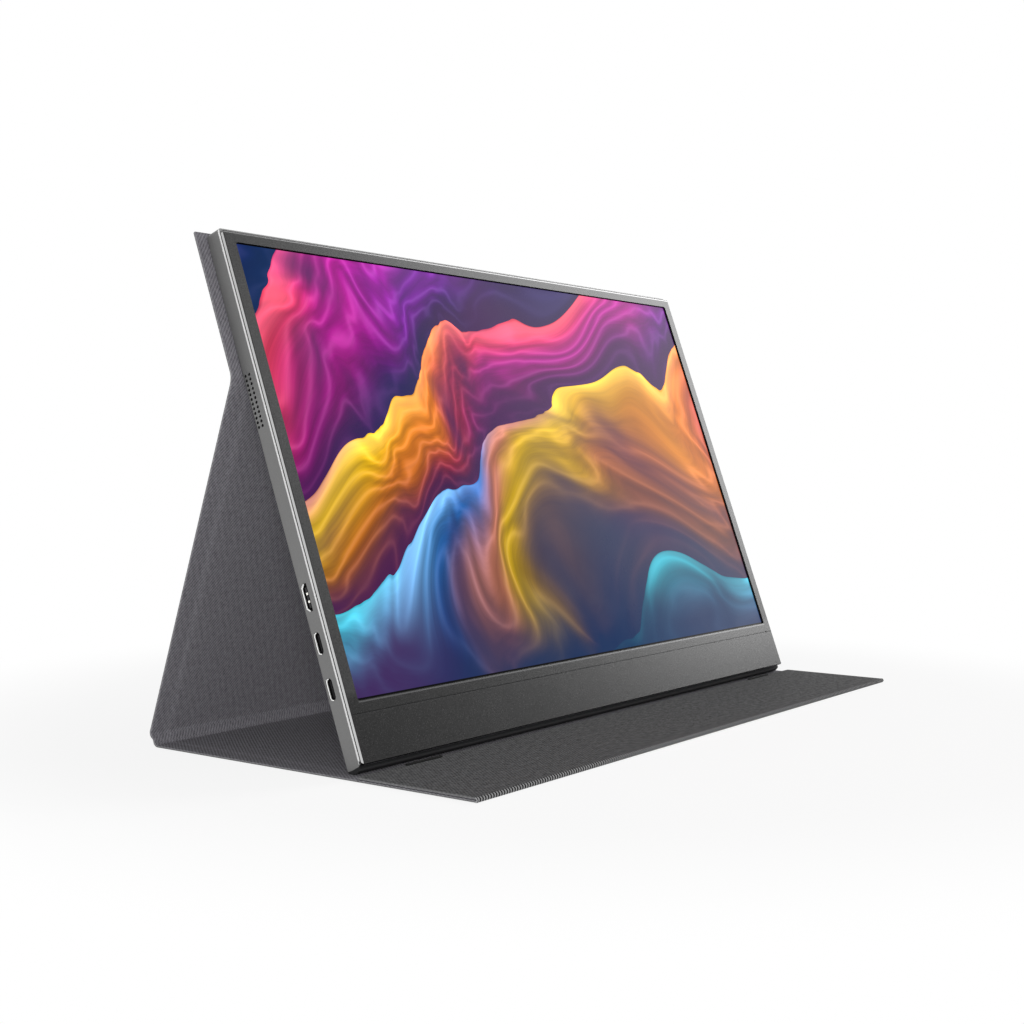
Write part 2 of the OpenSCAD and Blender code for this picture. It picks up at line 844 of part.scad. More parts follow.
module magnet_plate() {
    y0 = fold_y + (upper_l - plate_h) / 2;
    color("silver")
        in_monitor()
            translate([0, 0, floor_z])
                linear_extrude(plate_t)
                    round_rect([-plate_w / 2, y0], [plate_w / 2, y0 + plate_h], plate_r);
}

/* Cover */

// Places a panel that runs from a crease at p, with its direction given in degrees from +Y towards +Z.
// Its outer face, the one that lies on the table, is then the low side.
module panel_at(p, direction) {
    translate([0, p[0], p[1]])
        rotate([direction, 0, 0])
            children();
}

// The fabric on the outer face with its turned edges and pressed borders; the panel runs from y0 to y1.
module outer_skin(y0, y1, beads) {
    difference() {
        union() {
            block([-cover_w / 2, y0, -half_t], [cover_w / 2, y1, half_t]);
            for (y = beads)
                translate([-cover_w / 2, y, 0])
                    rotate([0, 90, 0])
                        cylinder(r = bead_r, h = cover_w);
        }
        block([-cover_w / 2 + edge_w, y0 + edge_w, -half_t + skin_t], [cover_w / 2 - edge_w, y1 - edge_w, panel_t]);
    }
}

module board(y0, y1) {
    block([-cover_w / 2 + edge_w, y0 + edge_w, -half_t + skin_t],
        [cover_w / 2 - edge_w, y1 - edge_w, half_t - skin_t]);
}

module inner_skin(y0, y1) {
    block([-cover_w / 2 + edge_w, y0 + edge_w, half_t - skin_t], [cover_w / 2 - edge_w, y1 - edge_w, half_t]);
}

crease = max(bead_r, lip_rod_r) + crease_gap;
magnet_d = 10;
magnet_inset = 12;
upper_magnet_x = [-45, -15, 15, 45];
flap_magnet_x = [-150, 150];

module discs(xs, y) {
    for (x = xs)
        translate([x, y, -half_t + skin_t])
            cylinder(d = magnet_d, h = panel_t - 2 * skin_t);
}

// The upper panel runs up the monitor's back from the fold.
module at_upper() {
    panel_at(fold_axis, 90 - tilt)
        children();
}

// The leg runs down from the fold to the spine.
module at_leg() {
    panel_at(fold_axis, leg_lean - 90)
        children();
}

module at_spine() {
    panel_at(base_axis, spine_rise)
        children();
}

module at_base() {
    panel_at([lip_axis[0], half_t], 0)
        children();
}

// The flap lies folded back on the base, with its outer face up.
module at_flap() {
    translate([0, lip_axis[0], lip_axis[1] + seat_gap / 2 + half_t])
        mirror([0, 0, 1])
            children();
}

module upper_outer_skin() {
    color("#56545a")
        at_upper()
            outer_skin(crease, upper_l, []);
}

module upper_board() {
    color("tan")
        at_upper()
            difference() {
                board(crease, upper_l);
                discs(upper_magnet_x, upper_l / 2);
            }
}

module upper_magnets() {
    color("silver")
        at_upper()
            discs(upper_magnet_x, upper_l / 2);
}

module upper_inner_skin() {
    color("#504e54")
        at_upper()
            inner_skin(crease, upper_l);
}

module leg_outer_skin() {
    color("#56545a")
        at_leg()
            mirror([0, 0, 1])
                outer_skin(0, leg_l, [0, leg_l]);
}

module leg_board() {
    color("tan")
        at_leg()
            mirror([0, 0, 1])
                board(0, leg_l);
}

module leg_inner_skin() {
    color("#504e54")
        at_leg()
            mirror([0, 0, 1])
                inner_skin(0, leg_l);
}

module spine_outer_skin() {
    color("#56545a")
        at_spine()
            block([-cover_w / 2, crease, -half_t], [cover_w / 2, spine_l - crease, 0]);
}

module spine_inner_skin() {
    color("#504e54")
        at_spine()
            block([-cover_w / 2, crease, 0], [cover_w / 2, spine_l - crease, half_t]);
}

// The base carries the rolled edge that the flap turns on.
module base_outer_skin() {
    color("#444248") {
        at_base()
            outer_skin(0, base_l, [base_l]);
        translate([-cover_w / 2, lip_axis[0], lip_axis[1]])
            rotate([0, 90, 0])
                cylinder(r = lip_rod_r, h = cover_w);
    }
}

module base_board() {
    color("tan")
        at_base()
            board(0, base_l);
}

module base_inner_skin() {
    color("#504e54")
        at_base()
            inner_skin(0, base_l);
}

module flap_outer_skin() {
    color("#4c4c4c")
        at_flap()
            outer_skin(crease, flap_l, []);
}

module flap_board() {
    color("tan")
        at_flap()
            difference() {
                board(crease, flap_l);
                discs(flap_magnet_x, flap_l - magnet_inset);
            }
}

module flap_magnets() {
    color("silver")
        at_flap()
            discs(flap_magnet_x, flap_l - magnet_inset);
}

module flap_inner_skin() {
    color("#504e54")
        at_flap()
            inner_skin(crease, flap_l);
}

stop_t = 0.6;
stop_inset = 0.4;

module rubber_stops() {
    color("black")
        for (side = [-1, 1])
            translate([side * stop_x - stop_l / 2, flap_end - stop_inset - stop_w, 2 * panel_t + seat_gap])
                cube([stop_l, stop_w, stop_t]);
}

rear_shell();
front_frame();
chin_cover();
lcd_panel();
optical_films();
light_guide();
reflector_sheet();
backlight_tray();
led_strip();
panel_driver_board();
panel_flex();
main_board();
display_cable();
mini_hdmi_socket();
mini_hdmi_contacts();
usb_c_socket(usb_high_y);  // usb_c_socket_upper
usb_c_socket(usb_low_y);  // usb_c_socket_lower
usb_c_contacts();
headphone_socket();
speaker(-1);  // speaker_left
speaker(1);  // speaker_right
speaker_mesh(-1);  // speaker_mesh_left
speaker_mesh(1);  // speaker_mesh_right
button_board();
button_cable();
speaker_wires();
board_screws();
button_cap(0, "gray");  // power_button
button_cap(2, "gray");  // plus_button
button_cap(1, "gray");  // minus_button
magnet_plate();
upper_outer_skin();
upper_board();
upper_magnets();
upper_inner_skin();
leg_outer_skin();
leg_board();
leg_inner_skin();
spine_outer_skin();
spine_inner_skin();
base_outer_skin();
base_board();
base_inner_skin();
flap_outer_skin();
flap_board();
flap_magnets();
flap_inner_skin();
rubber_stops();
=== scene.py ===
import math

import bmesh
import bpy
from bpy.props import FloatProperty, FloatVectorProperty, IntProperty, PointerProperty
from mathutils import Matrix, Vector


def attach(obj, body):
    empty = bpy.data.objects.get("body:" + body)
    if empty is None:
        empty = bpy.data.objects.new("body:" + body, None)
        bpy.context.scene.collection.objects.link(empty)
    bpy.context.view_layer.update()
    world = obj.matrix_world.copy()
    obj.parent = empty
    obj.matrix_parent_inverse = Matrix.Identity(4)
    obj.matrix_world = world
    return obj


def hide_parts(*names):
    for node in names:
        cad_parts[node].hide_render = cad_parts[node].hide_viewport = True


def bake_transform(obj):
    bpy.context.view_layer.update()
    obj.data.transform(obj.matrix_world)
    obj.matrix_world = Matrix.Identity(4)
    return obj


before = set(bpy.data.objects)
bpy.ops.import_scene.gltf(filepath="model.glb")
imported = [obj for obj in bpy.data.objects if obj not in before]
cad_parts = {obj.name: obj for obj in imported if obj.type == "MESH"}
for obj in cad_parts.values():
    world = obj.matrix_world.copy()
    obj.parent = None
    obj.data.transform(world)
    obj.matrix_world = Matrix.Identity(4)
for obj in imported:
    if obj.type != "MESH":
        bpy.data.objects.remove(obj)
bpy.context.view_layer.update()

bl_info = {
    "name": "Portable monitor with cover",
    "version": (1, 0, 0),
    "blender": (4, 5, 0),
    "location": "View3D > Sidebar > Monitor",
    "description": "Dresses the packed portable monitor: metal, lit screen, sockets and the folding fabric cover",
    "category": "Object",
}

MM = 0.001

# Where the pieces of the frame stand, in metres. Side points are (Y, Z).
TILT = math.radians(20.2)
SCREEN_UP = Vector((0, math.sin(TILT), math.cos(TILT)))
SCREEN_OUT = Vector((0, -math.cos(TILT), math.sin(TILT)))
MONITOR_FOOT = Vector((0, -30.1616, 3.41782)) * MM
PICTURE_FOOT = 27.6 * MM
FOLD = (36.9333 * MM, 155.078 * MM)
SPINE = (87.1494 * MM, 5.49683 * MM)
BASE = (83.6506 * MM, 0.5 * MM)
LIP = (-87.1494 * MM, 1.05 * MM)
UPPER_LENGTH = 64.2 * MM
FLAP_LENGTH = 56.9 * MM
PANEL_HALF = 0.5 * MM
COVER_HALF = 184 * MM
STOP_PLACE = (145 * MM, -31.45 * MM, 2.1 * MM)
STOP_SIZE = (22.5 * MM, 1.6 * MM, 0.6 * MM)

# What the masks of the metal go by, in millimetres to the side of the middle or up from the monitor's foot
SIDE_WALL = 178.5
OPENING_SIDE = 172.5
CHIN_TOP = 22.1
OPENING_FOOT = 26.8
VIDEO_SOCKET = 71.5
GRILLE = 154.5
BEZEL_TOP = 227.1

# painted shade: colour of the shell's foot strip and grille holes, the dark line above the bezel's crest and the
# opening's right wall
PAINTED_SHADE = (0.016, 0.016, 0.017)
# painted highlight: colour of the cover's lit outer edges
EDGE_HIGHLIGHT_COLOUR = (0.24, 0.24, 0.245)
ROUGH_MEAN = 0.015  # mean of what the grain adds to the roughness


# ---------------------------------------------------------------- properties


class MonitorFinish(bpy.types.PropertyGroup):
    """Finish of the anodised metal"""

    shell_colour: FloatVectorProperty(
        name="Shell colour", description="Colour of the anodised rear shell",
        default=(0.168, 0.168, 0.167), size=3, min=0, max=1, subtype="COLOR")
    bezel_colour: FloatVectorProperty(
        name="Bezel colour", description="Colour of the anodised bezel and chin",
        default=(0.031, 0.031, 0.031), size=3, min=0, max=1, subtype="COLOR")
    cut_colour: FloatVectorProperty(
        name="Cut edge colour", description="Colour of the bright cut chamfers",
        default=(0.50, 0.50, 0.50), size=3, min=0, max=1, subtype="COLOR")
    grain: FloatProperty(
        name="Grain size", description="Size of the blasted grain under the anodising",
        default=0.0005, min=0.0001, max=0.005, unit="LENGTH")
    grain_depth: FloatProperty(
        name="Grain depth", description="Depth of the blasted grain",
        default=0.00001, min=0, max=0.0005, precision=6, unit="LENGTH")


class ScreenFinish(bpy.types.PropertyGroup):
    """The lit picture"""

    picture_width: FloatProperty(
        name="Picture width", description="Width of the lit picture",
        default=0.3442, min=0.1, max=1, unit="LENGTH")
    picture_height: FloatProperty(
        name="Picture height", description="Height of the lit picture",
        default=0.1936, min=0.1, max=1, unit="LENGTH")
    brightness: FloatProperty(
        name="Brightness", description="Strength of the lit picture, where 1 shows its colours as they are",
        default=1.0, min=0, max=5)
    swirl: FloatProperty(
        name="Swirl", description="How far the bands of colour are drawn out of line",
        default=0.62, min=0, max=2, subtype="FACTOR")


class CoverFinish(bpy.types.PropertyGroup):
    """Fabric of the cover"""

    outer_colour: FloatVectorProperty(
        name="Outer fabric", description="Colour of the fabric on the outside of the cover",
        default=(0.078, 0.078, 0.079), size=3, min=0, max=1, subtype="COLOR")
    inner_colour: FloatVectorProperty(
        name="Inner fabric", description="Colour of the fabric on the inside of the cover",
        default=(0.152, 0.147, 0.162), size=3, min=0, max=1, subtype="COLOR")
    twill_pitch: FloatProperty(
        name="Twill pitch", description="Distance between two diagonal lines of the weave",
        default=0.00127, min=0.0002, max=0.01, precision=5, unit="LENGTH")
    rib_pitch: FloatProperty(
        name="Rib pitch", description="Distance between two ribs of the front lip",
        default=0.001634, min=0.0005, max=0.01, precision=6, unit="LENGTH")
    rib_height: FloatProperty(
        name="Rib height", description="Height of the ribs of the front lip",
        default=0.00014, min=0, max=0.001, precision=5, unit="LENGTH")
    edge_press: FloatProperty(
        name="Pressed edge", description="Depth by which the border round the boards is pressed in",
        default=0.00008, min=0, max=0.0004, precision=5, unit="LENGTH")
    columns: IntProperty(
        name="Columns", description="Mesh columns across the cover",
        default=24, min=4, max=200)


class StageLight(bpy.types.PropertyGroup):
    """Floor, sky and lamps"""

    sky: FloatProperty(
        name="Sky light", description="Strength of the even light from all round",
        default=0.3, min=0, max=3)
    side_lamp: FloatProperty(
        name="Side lamp", description="Power of the soft lamp on the right",
        default=20.5, min=0, max=500, unit="POWER")
    fill_lamp: FloatProperty(
        name="Fill lamp", description="Power of the broad soft lamp on the left",
        default=27.0, min=0, max=500, unit="POWER")
    top_lamp: FloatProperty(
        name="Top lamp", description="Power of the soft lamp overhead",
        default=3.0, min=0, max=500, unit="POWER")


# ---------------------------------------------------------------- node helpers


class Nodes:
    """Short calls for making nodes in one tree."""

    def __init__(self, tree):
        self.tree = tree

    def add(self, kind, **settings):
        node = self.tree.nodes.new(kind)
        for key, value in settings.items():
            setattr(node, key, value)
        return node

    def link(self, a, b):
        self.tree.links.new(a, b)

    def feed(self, socket, value):
        if isinstance(value, bpy.types.NodeSocket):
            self.link(value, socket)
        else:
            socket.default_value = value

    def fed(self, kind, values, **settings):
        """A new node with these values on its first sockets."""
        node = self.add(kind, **settings)
        for socket, value in zip(node.inputs, values):
            self.feed(socket, value)
        return node

    def math(self, how, *values):
        return self.fed("ShaderNodeMath", values, operation=how).outputs[0]

    def vector(self, how, *values):
        node = self.fed("ShaderNodeVectorMath", values, operation=how)
        return node.outputs["Value" if how in ("DOT_PRODUCT", "LENGTH", "DISTANCE") else "Vector"]

    def scaled(self, vector, factor):
        node = self.add("ShaderNodeVectorMath", operation="SCALE")
        self.feed(node.inputs[0], vector)
        self.feed(node.inputs["Scale"], factor)
        return node.outputs["Vector"]

    def noise(self, vector, scale, detail=2.0, roughness=0.5, colour=False):
        node = self.add("ShaderNodeTexNoise")
        self.feed(node.inputs["Vector"], vector)
        self.feed(node.inputs["Scale"], scale)
        node.inputs["Detail"].default_value = detail
        node.inputs["Roughness"].default_value = roughness
        return node.outputs["Color" if colour else "Fac"]

    def span(self, value, low, high, to_low=0.0, to_high=1.0, smooth=True):
        node = self.add("ShaderNodeMapRange", interpolation_type="SMOOTHSTEP" if smooth else "LINEAR")
        for key, given in zip(("Value", "From Min", "From Max", "To Min", "To Max"),
                              (value, low, high, to_low, to_high)):
            self.feed(node.inputs[key], given)
        return node.outputs[0]

    def mix(self, how, amount, a, b):
        node = self.add("ShaderNodeMix", data_type="RGBA", blend_type=how)
        self.feed(node.inputs["Factor"], amount)
        for socket, value in ((node.inputs[6], a), (node.inputs[7], b)):
            if isinstance(value, (tuple, list)):
                value = (*value[:3], 1.0)
            self.feed(socket, value)
        return node.outputs[2]

    def blend(self, amount, a, b):
        """A plain value between two values."""
        return self.math("ADD", self.times(self.math("SUBTRACT", 1.0, amount), a), self.times(amount, b))

    def times(self, *values):
        """The product of two or more values."""
        product = values[0]
        for value in values[1:]:
            product = self.math("MULTIPLY", product, value)
        return product

    def slope(self, value, factor, base):
        """The value times the factor, plus the base."""
        return self.math("MULTIPLY_ADD", value, factor, base)

    def off(self, value, centre):
        """How far a value lies from a centre."""
        return self.math("ABSOLUTE", self.math("SUBTRACT", value, centre))

    def swung(self, value, share, base):
        """The base, moved by a share of how far a noise lies from its mean."""
        return self.slope(self.math("SUBTRACT", value, 0.5), share, base)

    def fade(self, value, none, full):
        """0 at one length and 1 at the other, both in millimetres."""
        return self.span(value, none * MM, full * MM)

    def joined(self, x, y, z=0.0):
        return self.fed("ShaderNodeCombineXYZ", (x, y, z)).outputs[0]

    def parted(self, vector):
        return self.fed("ShaderNodeSeparateXYZ", (vector,)).outputs

    def ramp(self, value, stops, smooth=True):
        node = self.add("ShaderNodeValToRGB")
        node.color_ramp.interpolation = "EASE" if smooth else "LINEAR"
        elements = node.color_ramp.elements
        while len(elements) < len(stops):
            elements.new(0.5)
        for element, (place, colour) in zip(elements, stops):
            element.position = place
            element.color = (*colour, 1.0)
        self.feed(node.inputs[0], value)
        return node.outputs[0]

    def grey(self, factor):
        """A colour with the same number in each channel."""
        return self.fed("ShaderNodeCombineColor", (factor, factor, factor)).outputs[0]

    def placed(self, name, **values):
        """A shared group, with its own values; spaces in socket names are underscores here."""
        node = self.add("ShaderNodeGroup", node_tree=bpy.data.node_groups[name])
        for key, value in values.items():
            self.feed(node.inputs[key.replace("_", " ")], value)
        return node.outputs

    def bump(self, height, strength=1.0, distance=1.0):
        node = self.add("ShaderNodeBump")
        node.inputs["Strength"].default_value = strength
        node.inputs["Distance"].default_value = distance
        self.feed(node.inputs["Height"], height)
        return node.outputs["Normal"]


def new_group(name, takes, gives):
    """An empty shader node group for plain values: (its Nodes, the input sockets, the output node's inputs).

    It takes (label, value) pairs and gives labels.
    """
    tree = bpy.data.node_groups.new(name, "ShaderNodeTree")
    for label, value in takes:
        tree.interface.new_socket(label, in_out="INPUT", socket_type="NodeSocketFloat").default_value = value
    for label in gives:
        tree.interface.new_socket(label, in_out="OUTPUT", socket_type="NodeSocketFloat")
    n = Nodes(tree)
    return n, n.add("NodeGroupInput").outputs, n.add("NodeGroupOutput").inputs


def build_grain_group():
    """Blasted and anodised metal: a fine grain with faint mottling."""
    n, takes, gives = new_group(
        "Blasted grain", (("Grain", 0.0005), ("Depth", 0.00001), ("Contrast", 0.2)), ("Tone", "Rough", "Height"))
    place = n.add("ShaderNodeTexCoord").outputs["Object"]
    fine = n.noise(place, n.math("DIVIDE", 1.0, takes["Grain"]), 2.0, 0.6)
    broad = n.noise(place, 45.0, 3.0, 0.55)
    swing = n.math("SUBTRACT", n.span(fine, 0.28, 0.72, smooth=False), 0.5)
    mottled = n.swung(broad, 0.12, 1.0)
    n.link(n.times(n.slope(swing, takes["Contrast"], 1.0), mottled), gives["Tone"])
    n.link(n.slope(broad, 2 * ROUGH_MEAN, n.times(swing, 0.05)), gives["Rough"])
    n.link(n.times(fine, takes["Depth"]), gives["Height"])


def build_cut_group():
    """Marks the faces whose normal stands at one angle to the screen's, as the cut chamfers do."""
    n, takes, gives = new_group("Cut edge", (("Centre", 0.707), ("Width", 0.14)), ("Mask",))
    normal = n.add("ShaderNodeTexCoord").outputs["Normal"]
    facing = n.vector("DOT_PRODUCT", normal, tuple(SCREEN_OUT))
    off = n.off(facing, takes["Centre"])
    n.link(n.span(n.math("DIVIDE", off, takes["Width"]), 0.7, 1.0, 1.0, 0.0), gives["Mask"])


def build_twill_group():
    """Fine diagonal weave from cloth coordinates in metres: the three waves of its repeat, slubs and fibres."""
    n, takes, gives = new_group(
        "Twill weave",
        (("Pitch", 0.00127), ("Contrast", 0.16), ("Streaks", 0.3), ("Fibres", 0.6), ("Specks", 1.0)),
        ("Tone", "Height"))
    cloth = n.add("ShaderNodeUVMap", uv_map="cloth").outputs[0]
    drift = n.times(n.math("SUBTRACT", n.noise(cloth, 160.0, 1.0), 0.5), 2.0)

    def wave(across, along):
        """A wave with this many crests per pitch across and along the cloth."""
        step = (2 * math.pi * across, 2 * math.pi * along, 0.0)
        turn = n.math("DIVIDE", n.vector("DOT_PRODUCT", cloth, step), takes["Pitch"])
        return n.math("COSINE", n.math("ADD", turn, drift))

    line, yarn, cross = wave(0.778, -0.628), wave(0.381, 0.168), wave(0.888, 1.028)
    weave = n.slope(yarn, 0.2, n.slope(cross, 0.25, line))
    slub = n.noise(n.vector("MULTIPLY", cloth, (900.0, 70.0, 1.0)), 1.0, 2.0, 0.6)
    fibre = n.noise(cloth, 1000.0, 3.0, 0.85)
    speck = n.noise(cloth, 380.0, 3.0, 0.9)
    broad = n.noise(cloth, 16.0, 2.0, 0.5)
    tone = n.slope(weave, takes["Contrast"], 1.0)
    for grain, share in ((speck, takes["Specks"]), (slub, takes["Streaks"]), (fibre, takes["Fibres"]), (broad, 0.10)):
        tone = n.swung(grain, share, tone)
    n.link(tone, gives["Tone"])
    n.link(n.math("ADD", n.times(weave, 0.00004), n.times(fibre, 0.00003)), gives["Height"])


def build_place_group():
    """Where a point lies on the monitor, in metres: to the side, up from its foot, and out of the screen."""
    n, _, gives = new_group("Place on monitor", (), ("Side", "Up", "Out"))
    here = n.vector("SUBTRACT", n.add("ShaderNodeTexCoord").outputs["Object"], tuple(MONITOR_FOOT))
    n.link(n.parted(here)[0], gives["Side"])
    n.link(n.vector("DOT_PRODUCT", here, tuple(SCREEN_UP)), gives["Up"])
    n.link(n.vector("DOT_PRODUCT", here, tuple(SCREEN_OUT)), gives["Out"])


def build_edge_highlight_group():
    """Marks the painted highlight along the outermost millimetre of the cover's sides, and the painted highlight on
    the line where its hem ends.
    """
    n, takes, gives = new_group(
        "Edge highlight", (("Edge", 0.184), ("Reach", 0.0009), ("Hem", 0.0095)), ("Mask", "Hem Highlight"))
    place = n.add("ShaderNodeTexCoord").outputs["Object"]
    side = n.math("ABSOLUTE", n.parted(place)[0])
    ragged = n.times(n.math("SUBTRACT", n.noise(place, 700.0, 2.0), 0.5), 0.0005)
    start = n.math("SUBTRACT", takes["Edge"], takes["Reach"])
    n.link(n.span(n.math("ADD", side, ragged), start, takes["Edge"]), gives["Mask"])
    off = n.off(n.math("SUBTRACT", takes["Edge"], side), takes["Hem"])
    n.link(n.span(off, 0.0, 0.0030, 1.0, 0.0), gives["Hem Highlight"])


def build_groups():
    for label, build in (("Blasted grain", build_grain_group), ("Cut edge", build_cut_group),
                         ("Twill weave", build_twill_group), ("Place on monitor", build_place_group),
                         ("Edge highlight", build_edge_highlight_group)):
        if label not in bpy.data.node_groups:
            build()


def new_material(name, metallic=0.0, roughness=0.5, specular=0.5):
    """A material with one Principled shader: (material, its Nodes, the shader's inputs)."""
    made = bpy.data.materials.new(name)
    made.use_nodes = True
    n = Nodes(made.node_tree)
    shader = made.node_tree.nodes["Principled BSDF"].inputs
    shader["Metallic"].default_value = metallic
    shader["Roughness"].default_value = roughness
    shader["Specular IOR Level"].default_value = specular
    return made, n, shader


def dress(material, *nodes):
    """Gives CAD nodes a material in place of their plain one."""
    for name in nodes:
        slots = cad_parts[name].material_slots
        if not slots:
            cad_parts[name].data.materials.append(material)
        for slot in slots:
            slot.material = material


# ---------------------------------------------------------------- finishes


def anodised(name, colour, roughness, contrast, metallic=1.0, cut=None, band=None, zones=(),
             grain=0.0005, depth=0.00001, specular=0.5):
    """Blasted metal. The band lies under its grain, then come the cut edge and the zones, smooth and in that order.

    A band or zone is (mask, colour, roughness), and the cut edge is (mask, colour, roughness, metallic).
    """
    made, n, shader = new_material(name, metallic=metallic, roughness=roughness, specular=specular)
    look = n.placed("Blasted grain", Grain=grain, Depth=depth, Contrast=contrast)
    base = tuple(colour)
    rough = n.math("ADD", look["Rough"], roughness - ROUGH_MEAN)
    if band is not None:
        mask, band_colour, band_rough = band
        place = mask(n)
        base = n.mix("MIX", place, base, tuple(band_colour))
        rough = n.blend(place, rough, n.math("ADD", look["Rough"], band_rough - ROUGH_MEAN))
    toned = n.mix("MULTIPLY", 1.0, base, n.grey(look["Tone"]))
    if cut is not None:
        mask, cut_colour, cut_rough, cut_metallic = cut
        edge = mask(n)
        toned = n.mix("MIX", edge, toned, tuple(cut_colour))
        rough = n.blend(edge, rough, cut_rough)
        n.link(n.span(edge, 0.0, 1.0, metallic, cut_metallic, smooth=False), shader["Metallic"])
    for mask, zone_colour, zone_rough in zones:
        place = mask(n)
        toned = n.mix("MIX", place, toned, tuple(zone_colour))
        rough = n.blend(place, rough, zone_rough)
    n.link(toned, shader["Base Color"])
    n.link(rough, shader["Roughness"])
    n.link(n.bump(look["Height"]), shader["Normal"])
    return made


def shell_edge(n):
    """The cut edge round the shell's rim."""
    return n.placed("Cut edge", Centre=0.707, Width=0.15)["Mask"]


def bezel_edge(n):
    """The outer part of the bezel's cut edge."""
    outer = n.fade(n.placed("Place on monitor")["Out"], -0.35, -0.45)
    return n.times(n.placed("Cut edge", Centre=0.36, Width=0.15)["Mask"], outer)


def foot_shade_zone(n):
    """Painted shade: the dark strip along the shell's foot, and the dark holes of the grilles."""
    place = n.placed("Place on monitor")
    side, up, out = n.math("ABSOLUTE", place["Side"]), place["Up"], place["Out"]
    front = n.times(n.fade(up, 4.6, 4.2), n.fade(side, SIDE_WALL - 0.05, SIDE_WALL - 0.15))
    # on the side walls the strip's edge climbs towards the screen
    rise = n.slope(n.math("MAXIMUM", n.math("ADD", out, 7 * MM), 0.0), 0.17, 1.75 * MM)
    end = n.fade(n.math("SUBTRACT", up, rise), 0.15, -0.15)
    grille = n.times(n.fade(n.off(up, GRILLE * MM), 24, 20), n.fade(out, -3.6, -4.0))
    bore = n.times(grille, n.fade(side, SIDE_WALL - 0.08, SIDE_WALL - 0.14))
    return n.math("MAXIMUM", n.math("MAXIMUM", front, end), bore)


def chin_highlight_zone(n):
    """Painted highlight along the upper edge of the chin cover."""
    return n.fade(n.placed("Place on monitor")["Up"], CHIN_TOP - 0.32, CHIN_TOP - 0.24)


def lower_band(n):
    """The bezel's strip between the chin cover and the screen, finished like the chin."""
    return n.fade(n.placed("Place on monitor")["Up"], 32.0, 27.0)


def opening_highlight_zone(n):
    """Painted highlight: the bright line along the lower edge of the screen's opening."""
    place = n.placed("Place on monitor")
    up = place["Up"]
    low = n.times(n.fade(up, OPENING_FOOT - 0.55, OPENING_FOOT - 0.45),
                  n.fade(up, OPENING_FOOT + 0.1, OPENING_FOOT + 0.05))
    return n.times(low, n.fade(n.math("ABSOLUTE", place["Side"]), OPENING_SIDE + 0.1, OPENING_SIDE - 0.2))


def crest_highlight_zone(n):
    """Painted highlight: the bright line along the bezel's upper edge."""
    up = n.placed("Place on monitor")["Up"]
    return n.times(n.fade(up, BEZEL_TOP - 1.7, BEZEL_TOP - 1.6), n.fade(up, BEZEL_TOP - 1.1, BEZEL_TOP - 1.15))


def crest_shade_zone(n):
    """Painted shade: the dark line above the painted highlight on the bezel's upper edge."""
    place = n.placed("Place on monitor")
    return n.times(n.fade(place["Up"], BEZEL_TOP - 1.15, BEZEL_TOP - 1.1), n.fade(place["Out"], -0.5, -0.4))


def opening_wall_shade_zone(n):
    """Painted shade on the right wall of the screen's opening."""
    place = n.placed("Place on monitor")
    side = place["Side"]
    wall = n.times(n.fade(side, OPENING_SIDE - 1.5, OPENING_SIDE - 0.5),
                   n.fade(side, OPENING_SIDE + 1.5, OPENING_SIDE + 1.3))
    return n.times(wall, n.fade(place["Out"], -0.12, -0.16))


def socket_shade_zone(n):
    """Painted shade in a socket's depth and its near half, which stay dark beside the bright rim."""
    place = n.placed("Place on monitor")
    deep = n.fade(n.math("ABSOLUTE", place["Side"]), SIDE_WALL - 0.55, SIDE_WALL - 0.65)
    return n.math("MAXIMUM", deep, n.fade(place["Out"], -7.0, -6.7))


def pin_zone(n):
    """Two bright contacts on the tongue of the video socket."""
    place = n.placed("Place on monitor")
    off = n.off(n.off(place["Up"], VIDEO_SOCKET * MM), 1.6 * MM)
    front = n.fade(n.math("ABSOLUTE", place["Side"]), SIDE_WALL - 1.5, SIDE_WALL - 1.3)
    return n.times(n.fade(off, 0.5, 0.35), front)


def moulded(name, colour, roughness=0.5, metallic=0.0, grain=0.0008, depth=0.00002, contrast=0.25, specular=0.5):
    """Fine-grained plastic, rubber, board or stamped metal: the same grain with its own settings."""
    return anodised(name, colour, roughness, contrast, metallic, grain=grain, depth=depth, specular=specular)


def dress_moulded(rows):
    """Gives CAD nodes a moulded material each row: (its name, colour, roughness, settings, nodes)."""
    for name, colour, roughness, settings, nodes in rows:
        dress(moulded(name, colour, roughness, **settings), *nodes)


def fabric(name, colour, pitch, contrast, streaks, fibres, specks, edge_highlight, hem=0.0):
    """Woven polyester on board, with its yarns and slubs, and painted highlights along its edges and on its hem line.
    """
    made, n, shader = new_material(name, roughness=0.8, specular=0.05)
    weave = n.placed("Twill weave", Pitch=pitch, Contrast=contrast, Streaks=streaks, Fibres=fibres, Specks=specks)
    edge_light = n.placed("Edge highlight")
    # the hem line is lifted by a painted highlight
    lifted = n.times(weave["Tone"], n.slope(edge_light["Hem Highlight"], hem, 1.0))
    toned = n.mix("MULTIPLY", 1.0, tuple(colour), n.grey(lifted))
    # the outermost edges take a painted highlight colour
    n.link(n.mix("MIX", n.times(edge_light["Mask"], edge_highlight), toned, EDGE_HIGHLIGHT_COLOUR), shader["Base Color"])
    n.link(n.span(weave["Tone"], 0.7, 1.3, 0.86, 0.68), shader["Roughness"])
    n.link(n.bump(weave["Height"], strength=0.9), shader["Normal"])
    shader["Sheen Weight"].default_value = 0.02
    shader["Sheen Roughness"].default_value = 0.4
    return made


